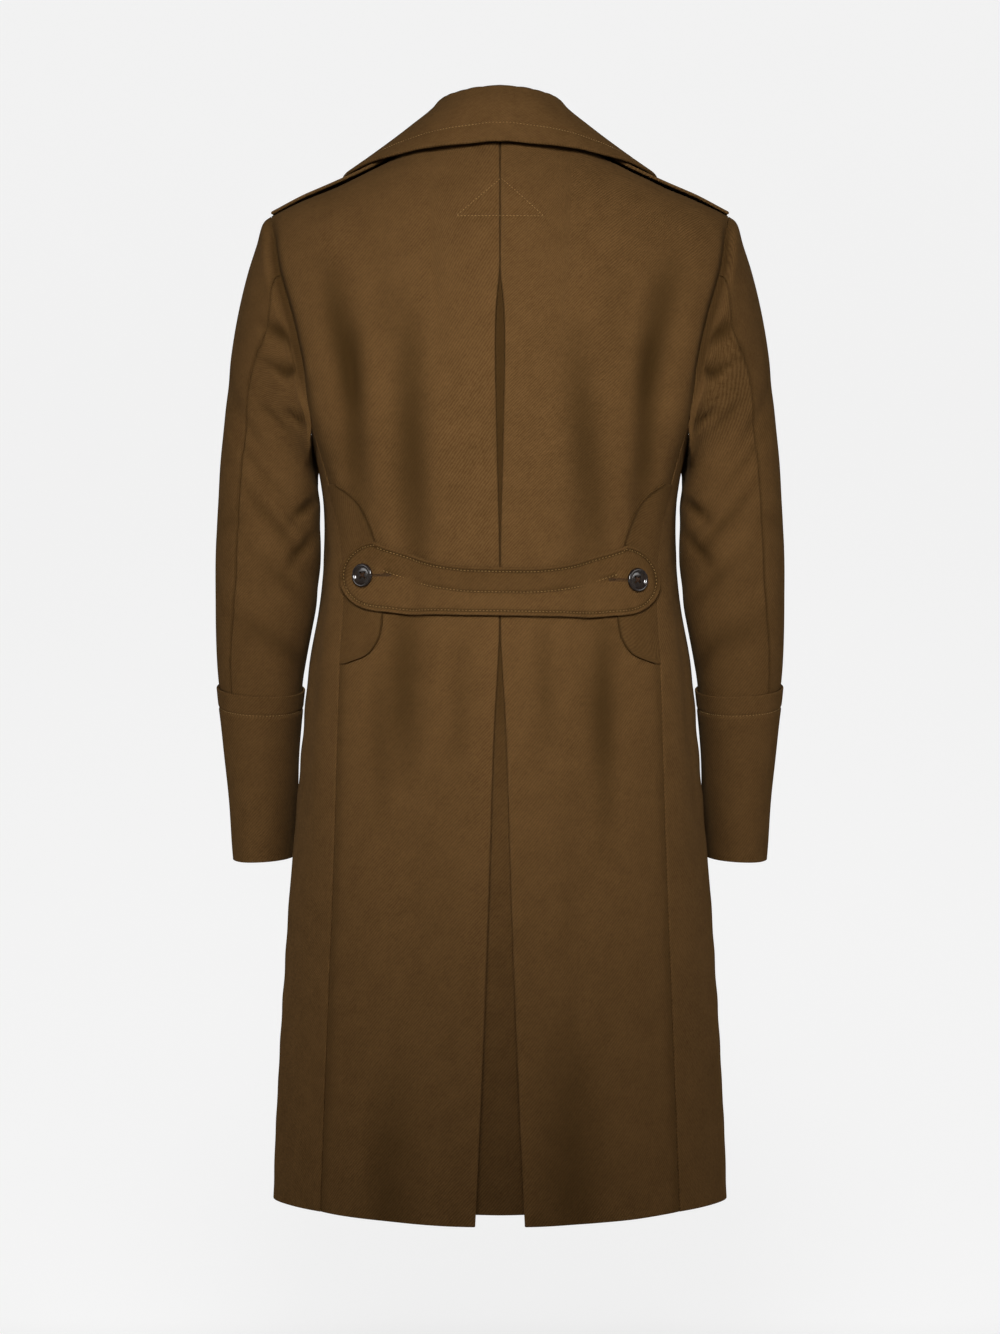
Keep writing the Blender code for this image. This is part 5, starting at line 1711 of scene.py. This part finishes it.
def belt_runs():
    """Stitching of the half belt: round its edge and along its middle."""
    out = BELT_OUT + BELT_WALL - GROOVE_DEPTH / 2
    straight = np.linspace(-BELT_TIP_X, BELT_TIP_X, BELT_LINES)
    top, bottom = belt_edges(straight)
    turn = np.linspace(math.pi / 2, -math.pi / 2, 2 * BELT_TIP_LINES)
    end_x = BELT_TIP_X + (BELT_TIP_RADIUS - BELT_EDGE_STITCH) * np.cos(turn)
    end_z = BELT_TIP_Z + (BELT_TIP_RADIUS - BELT_EDGE_STITCH) * np.sin(turn)
    x = np.concatenate([straight, end_x, straight[::-1], -end_x[::-1]])
    z = np.concatenate([top - BELT_EDGE_STITCH, end_z, bottom[::-1] + BELT_EDGE_STITCH, end_z[::-1]])
    middle = np.linspace(-BELT_MIDDLE_REACH, BELT_MIDDLE_REACH, BELT_LINES)
    middle_z = belt_edges(middle)[0] - BELT_MIDDLE_DROP
    lines = ((x, z), (middle, middle_z))
    return [body_line(BACK, row, height - BELT_TILT * row, out) for row, height in lines]


def patch_faces(side):
    """Outer and inner grids of a half-round belt patch, from the side seam to its piped edge, and its
    painted shade, with a painted shadow line along its edge."""
    outer, inner, shades = [], [], []
    across = np.linspace(0, 1, PATCH_SECTION_LINES)
    for share in np.linspace(0, 1, PATCH_LINES):
        seam_z = PATCH_TOP + (PATCH_BOTTOM - PATCH_TOP) * share
        seam_x = float(row_edge(BACK, seam_z - UNDERARM)) - SEAM
        wide = float(smooth(PATCH_EDGE, "x", share)) - seam_x
        high = float(smooth(PATCH_EDGE, "height", share)) - seam_z
        inside = math.hypot(wide, high) * (1 - across)
        out = PATCH_LAY + PATCH_WALL + PATCH_PIPING * bump(inside, 0.0, PATCH_WALL)
        x, z = seam_x + wide * across, seam_z + high * across
        outer.append(on_body(BACK, side * x, z, out))
        inner.append(on_body(BACK, side * x, z, PATCH_LAY))
        # Painted shade over the patch, with a darker painted shadow line at its edge
        shades.append(PATCH_SHADE + (PATCH_EDGE_SHADE - PATCH_SHADE) * bump(inside, 0.0, PATCH_WALL))
    return np.array(outer), np.array(inner), np.array(shades)


def placed(face, x, z, out):
    """Place on the body with its own axes: right, up and outward."""
    x, z = np.asarray(x), np.asarray(z)
    normal = Vector(outward(face, *locate(face, x, z)))
    right = Vector(UP).cross(normal).normalized()
    axes = Matrix((right, normal.cross(right), normal)).transposed().to_4x4()
    return Matrix.Translation(Vector(on_body(face, x, z, out))) @ axes


def button_mesh(name, radius, height):
    """Turned horn button with a raised rim, a dished face and four holes."""
    angle = 2 * math.pi * np.arange(BUTTON_SIDES) / BUTTON_SIDES
    ring = np.stack([np.cos(angle), np.sin(angle), np.zeros_like(angle)], axis=-1)
    points = []
    for across, up in BUTTON_PROFILE:
        points += (ring * radius * across + height * up * UP).tolist()
    place = np.arange(len(points)).reshape(len(BUTTON_PROFILE), BUTTON_SIDES)
    turned = np.roll(place, -1, axis=1)
    faces = np.stack([place[1:], turned[1:], turned[:-1], place[:-1]], axis=-1).reshape(-1, 4).tolist()
    faces += [place[0].tolist(), place[-1, ::-1].tolist()]
    mesh = bpy.data.meshes.new(name)
    mesh.from_pydata(points, [], faces)
    button = bpy.data.objects.new(name, mesh)
    coat_collection().objects.link(button)
    cutters = []
    for across, up in HOLE_CORNERS:
        bpy.ops.mesh.primitive_cylinder_add(
            vertices=HOLE_SIDES,
            radius=HOLE_RADIUS * radius,
            depth=HOLE_DEPTH * height,
            location=(across * HOLE_PLACE * radius, up * HOLE_PLACE * radius, 0.0),
        )
        cutters.append(bpy.context.object)
        cut = button.modifiers.new("hole", "BOOLEAN")
        cut.object = cutters[-1]
    drilled = bpy.data.meshes.new_from_object(button.evaluated_get(bpy.context.evaluated_depsgraph_get()))
    drilled.name = name
    drilled.shade_smooth()
    drilled.set_sharp_from_angle(angle=math.radians(BUTTON_SHARP_DEGREES))
    for spent in (button, *cutters):
        bpy.data.objects.remove(spent, do_unlink=True)
    return drilled


def button_threads(where, radius, height):
    """Crossed strands through a button's holes: centres with outward directions."""
    centre, normal = [], []
    turn = where.to_3x3()
    for start, end in ((0, 2), (1, 3)):
        ends = [Vector(HOLE_CORNERS[index]) * HOLE_PLACE * radius for index in (start, end)]
        across = Vector((ends[0].y - ends[1].y, ends[1].x - ends[0].x)).normalized()
        for strand in range(THREAD_STRANDS):
            beside = across * (strand - (THREAD_STRANDS - 1) / 2) * HOLE_RADIUS * radius * STRAND_SPACING
            rows = []
            for share in np.linspace(0, 1, STRAND_RINGS):
                flat = ends[0].lerp(ends[1], share) + beside
                dive = STRAND_DIVE * abs(2 * share - 1) ** STRAND_DIVE_POWER
                lift = height * (STRAND_HEIGHT + STRAND_ARCH * math.sin(math.pi * share) - dive)
                rows.append(where @ Vector((flat.x, flat.y, lift)))
            centre.append(rows)
            normal.append([turn @ Vector(UP)] * STRAND_RINGS)
    return np.array(centre), np.array(normal)


def buttonhole_threads(face, x, z, out, way):
    """Whipped stitches round a horizontal slit that leaves a button towards one side."""
    centre, normal = [], []
    for place in np.arange(x, x + way * SLIT_LENGTH, way * WHIP_PITCH):
        for side in (-1, 1):
            rows = z + side * np.linspace(SLIT_HALF_WIDTH, WHIP_REACH, STITCH_RINGS)
            points, ways = body_line(face, np.full_like(rows, place), rows, out)
            centre.append(points)
            normal.append(ways)
    return np.array(centre), np.array(normal)


def slit_line(face, x, z, out, way):
    """Line of painted shade in a buttonhole's slit."""
    places = np.linspace(x, x + way * SLIT_LENGTH, SLIT_RINGS)
    points, ways = body_line(face, places, np.full_like(places, z), out)
    return points[None], ways[None]


class COAT_OT_backs(Operator):
    """Make both half backs with the inverted pleat, its underlay and the stitched triangle"""

    bl_idname = "coat.backs"
    bl_label = "Backs and pleat"

    def execute(self, context):
        for label, side in SIDES:
            add_cloth(context, f"back_{label}", back_faces(side))
        add_cloth(context, "pleat_underlay", underlay_faces())
        runs = []
        corners = np.array(TRIANGLE)
        shares = np.linspace(0, 1, TRIANGLE_POINTS)[:, None]
        for start, end in zip(corners, np.roll(corners, -1, axis=0)):
            x, z = (start + (end - start) * shares).T
            runs.append(body_line(BACK, x, z, 0.0))
        sew(context, "triangle_stitches", runs)
        return {"FINISHED"}


class COAT_OT_sides(Operator):
    """Make both side panels under the sleeves"""

    bl_idname = "coat.sides"
    bl_label = "Side panels"

    def execute(self, context):
        for label, side in SIDES:
            add_cloth(context, f"side_{label}", side_faces(side))
        return {"FINISHED"}


class COAT_OT_fronts(Operator):
    """Make both fronts and the topstitching along their edges"""

    bl_idname = "coat.fronts"
    bl_label = "Fronts"

    def execute(self, context):
        runs = []
        for label, side in SIDES:
            outer, inner, sunk = front_faces(side)
            add_cloth(context, f"front_{label}", (outer, inner, sunk))
            below = outer[:, -1, 2] < BREAK_Z
            runs.append(line_inside(outer[below], inner[below], FRONT_STITCH))
        sew(context, "front_stitches", runs)
        return {"FINISHED"}


class COAT_OT_lapels(Operator):
    """Make both lapels and their edge stitching"""

    bl_idname = "coat.lapels"
    bl_label = "Lapels"

    def execute(self, context):
        runs = []
        for label, side in SIDES:
            outer, inner = lapel_faces(side)
            add_cloth(context, f"lapel_{label}", (outer, inner))
            runs.append(line_inside(outer, inner, LAPEL_STITCH))
        sew(context, "lapel_stitches", runs)
        return {"FINISHED"}


class COAT_OT_collar(Operator):
    """Make the turned-down collar and its topstitching"""

    bl_idname = "coat.collar"
    bl_label = "Collar"

    def execute(self, context):
        outer, inner = collar_faces()
        add_cloth(context, "collar", (outer, inner), crossways=True)
        reach = np.abs(np.arange(-COLLAR_LINES, COLLAR_LINES + 1)) <= COLLAR_STITCH_REACH * COLLAR_LINES
        sew(context, "collar_stitches", [line_inside(outer[reach], inner[reach], COLLAR_STITCH)])
        return {"FINISHED"}


class COAT_OT_sleeves(Operator):
    """Make the top and under pieces of both sleeves"""

    bl_idname = "coat.sleeves"
    bl_label = "Sleeves"

    def execute(self, context):
        for kind, upper in (("sleeve_top", True), ("sleeve_under", False)):
            faces = sleeve_piece_faces(upper)
            for label, side in SIDES:
                grids = [mirrored(grid[::-1], side) for grid in faces[:2]]
                add_cloth(context, f"{kind}_{label}", [*grids, faces[2][::-1]])
        return {"FINISHED"}


class COAT_OT_cuffs(Operator):
    """Make both turn-back cuffs and their stitching"""

    bl_idname = "coat.cuffs"
    bl_label = "Cuffs"

    def execute(self, context):
        outer, inner = cuff_faces()
        ring = round((CUFF_STITCH - CUFF_TOP) / (CUFF_HEM - CUFF_TOP) * (CUFF_LINES - 1))
        closed = list(range(CUFF_SIDES)) + [0]
        path, out = outer[ring, closed], unit(outer - inner)[ring, closed]
        for label, side in SIDES:
            faces = [mirrored(grid, side) for grid in (outer, inner)]
            add_cloth(context, f"cuff_{label}", faces, ring=True)
        sew(context, "cuff_stitches", [(mirrored(path, side), mirrored(out, side)) for _, side in SIDES])
        return {"FINISHED"}


class COAT_OT_straps(Operator):
    """Make both shoulder straps and their edge stitching"""

    bl_idname = "coat.straps"
    bl_label = "Shoulder straps"

    def execute(self, context):
        runs = []
        for label, side in SIDES:
            outer, inner = strap_faces(side)
            add_cloth(context, f"shoulder_strap_{label}", (outer, inner))
            runs.append(line_inside(outer, inner, STRAP_STITCH))
            runs.append(line_inside(outer[:, ::-1], inner[:, ::-1], STRAP_STITCH))
        sew(context, "strap_stitches", runs)
        return {"FINISHED"}


class COAT_OT_belt(Operator):
    """Make the half belt with its half-round patches and their stitching"""

    bl_idname = "coat.belt"
    bl_label = "Half belt and patches"

    def execute(self, context):
        for label, side in SIDES:
            add_cloth(context, f"belt_patch_{label}", patch_faces(side))
        add_cloth(context, "half_belt", belt_faces())
        sew(context, "belt_stitches", belt_runs())
        return {"FINISHED"}


class COAT_OT_buttons(Operator):
    """Make the horn buttons with their threads and worked buttonholes"""

    bl_idname = "coat.buttons"
    bl_label = "Buttons"

    def execute(self, context):
        threads, holes, slits = [], [], []
        belt_button = button_mesh("belt_button", BELT_BUTTON_RADIUS, BELT_BUTTON_HEIGHT)
        front_button = button_mesh("front_button", FRONT_BUTTON_RADIUS, FRONT_BUTTON_HEIGHT)
        belt_out = BELT_OUT + BELT_WALL
        for label, side in SIDES:
            x = side * BELT_BUTTON_X
            z = BELT_BUTTON_Z - BELT_TILT * x
            where = placed(BACK, x, z, belt_out + LAY)
            self.place(context, f"belt_button_{label}", belt_button, where)
            threads.append(button_threads(where, BELT_BUTTON_RADIUS, BELT_BUTTON_HEIGHT))
            holes.append(buttonhole_threads(BACK, x, z, belt_out, -side))
            slits.append(slit_line(BACK, x, z, belt_out, -side))
            for row, height in FRONT_BUTTON_ROWS.items():
                where = placed(FRONT, side * FRONT_BUTTON_X, height, LAY)
                self.place(context, f"front_button_{row}_{label}", front_button, where)
                threads.append(button_threads(where, FRONT_BUTTON_RADIUS, FRONT_BUTTON_HEIGHT))
                if side == RIGHT:
                    holes.append(buttonhole_threads(FRONT, side * FRONT_BUTTON_X, height, 0.0, side))
                    slits.append(slit_line(FRONT, side * FRONT_BUTTON_X, height, 0.0, side))
        thread = sewing_thread("brown_thread", context.scene.coat_colours.brown_thread)
        lines = (
            ("button_threads", threads, thread),
            ("buttonholes", holes, thread),
            ("slits", slits, slit_shade(context)),
        )
        for name, runs, material in lines:
            mesh = thread_mesh(name, *joined(runs), context.scene.coat_sizes.stitch_width / 2)
            add_piece(name, mesh, material)
        return {"FINISHED"}

    def place(self, context, node, mesh, where):
        """One button at its place, standing for its solid."""
        piece = add_piece(f"{node}_horn", mesh.copy(), dark_horn(context), where)
        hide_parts(node)


class COAT_OT_studio(Operator):
    """Make the pale studio, its soft lights and the camera"""

    bl_idname = "coat.studio"
    bl_label = "Studio"

    def execute(self, context):
        settings = context.scene.coat_studio
        self.backdrop(context, settings.floor_height)
        world = bpy.data.worlds.new("studio_sky")
        context.scene.world = world
        world.use_nodes = True
        world.node_tree.nodes["Background"].inputs["Color"].default_value = (1.0, 1.0, 1.0, 1.0)
        world.node_tree.nodes["Background"].inputs["Strength"].default_value = settings.sky
        for name, power, *settled in LIGHTS:
            self.light(context, name, getattr(settings, power), *settled)
        lens = bpy.data.cameras.new("camera")
        lens.sensor_width = SENSOR
        lens.lens = SENSOR * CAMERA_DISTANCE / FRAME_HEIGHT
        camera = bpy.data.objects.new("camera", lens)
        camera.location = (0.0, -CAMERA_DISTANCE, CAMERA_HEIGHT)
        camera.rotation_euler = (math.pi / 2, 0.0, 0.0)
        context.scene.collection.objects.link(camera)
        context.scene.camera = camera
        context.scene.view_settings.view_transform = "Standard"
        return {"FINISHED"}

    def backdrop(self, context, floor):
        """Floor that sweeps up into a round wall on all sides."""
        angle = 2 * math.pi * np.arange(BOWL_SIDES) / BOWL_SIDES
        points = [(0.0, 0.0, floor)]
        for turn in np.linspace(0, math.pi / 2, BOWL_RINGS)[1:]:
            radius = BOWL_RADIUS * math.sin(turn) ** (2 / BOWL_POWER)
            height = floor + BOWL_HEIGHT * (1 - math.cos(turn) ** (2 / BOWL_POWER))
            points += [(radius * math.cos(a), radius * math.sin(a), height) for a in angle]
        rings = np.arange(1, len(points)).reshape(BOWL_RINGS - 1, BOWL_SIDES)
        turned = np.roll(rings, -1, axis=1)
        faces = [(0, here, beside) for here, beside in zip(rings[0].tolist(), turned[0].tolist())]
        faces += np.stack([rings[:-1], turned[:-1], turned[1:], rings[1:]], axis=-1).reshape(-1, 4).tolist()
        mesh = bpy.data.meshes.new("backdrop")
        mesh.from_pydata(points, [], faces)
        mesh.materials.append(studio_paint(context))
        mesh.shade_smooth()
        bowl = bpy.data.objects.new("backdrop", mesh)
        context.scene.collection.objects.link(bowl)

    def light(self, context, name, power, spread, size, place, aim):
        """Soft oblong light aimed at a point, with a spread in degrees."""
        lamp = bpy.data.lights.new(name, "AREA")
        lamp.energy = power
        lamp.shape = "RECTANGLE"
        lamp.size, lamp.size_y = size
        lamp.spread = math.radians(spread)
        light = bpy.data.objects.new(name, lamp)
        light.location = place
        light.visible_camera = False
        light.rotation_euler = (Vector(aim) - Vector(place)).to_track_quat("-Z", "Y").to_euler()
        context.scene.collection.objects.link(light)


class COAT_PT_sidebar(Panel):
    """Coat's makers and the values that a user would change"""

    bl_label = "Overcoat"
    bl_space_type = "VIEW_3D"
    bl_region_type = "UI"
    bl_category = "Overcoat"

    def draw(self, context):
        for maker in MAKERS:
            self.layout.operator(maker.bl_idname)
        for group in (context.scene.coat_sizes, context.scene.coat_colours, context.scene.coat_studio):
            box = self.layout.box()
            for name in group.__annotations__:
                box.prop(group, name)


MAKERS = (
    COAT_OT_backs,
    COAT_OT_sides,
    COAT_OT_fronts,
    COAT_OT_lapels,
    COAT_OT_collar,
    COAT_OT_sleeves,
    COAT_OT_cuffs,
    COAT_OT_straps,
    COAT_OT_belt,
    COAT_OT_buttons,
    COAT_OT_studio,
)
CLASSES = (CoatSizes, CoatColours, StudioSettings, *MAKERS, COAT_PT_sidebar)


def register():
    """Register the classes and hang their values on the scene."""
    for kind in CLASSES:
        bpy.utils.register_class(kind)
    bpy.types.Scene.coat_sizes = PointerProperty(type=CoatSizes)
    bpy.types.Scene.coat_colours = PointerProperty(type=CoatColours)
    bpy.types.Scene.coat_studio = PointerProperty(type=StudioSettings)


def unregister():
    """Take the values and classes away again."""
    del bpy.types.Scene.coat_studio
    del bpy.types.Scene.coat_colours
    del bpy.types.Scene.coat_sizes
    for kind in reversed(CLASSES):
        bpy.utils.unregister_class(kind)


def main():
    """Make the coat and its studio."""
    for old in ("Cube", "Light", "Camera"):
        if old in bpy.data.objects:
            bpy.data.objects.remove(bpy.data.objects[old], do_unlink=True)
    register()
    bpy.ops.coat.backs()
    bpy.ops.coat.sides()
    bpy.ops.coat.fronts()
    bpy.ops.coat.lapels()
    bpy.ops.coat.collar()
    bpy.ops.coat.sleeves()
    bpy.ops.coat.cuffs()
    bpy.ops.coat.straps()
    bpy.ops.coat.belt()
    bpy.ops.coat.buttons()
    bpy.ops.coat.studio()


if __name__ == "__main__":
    main()
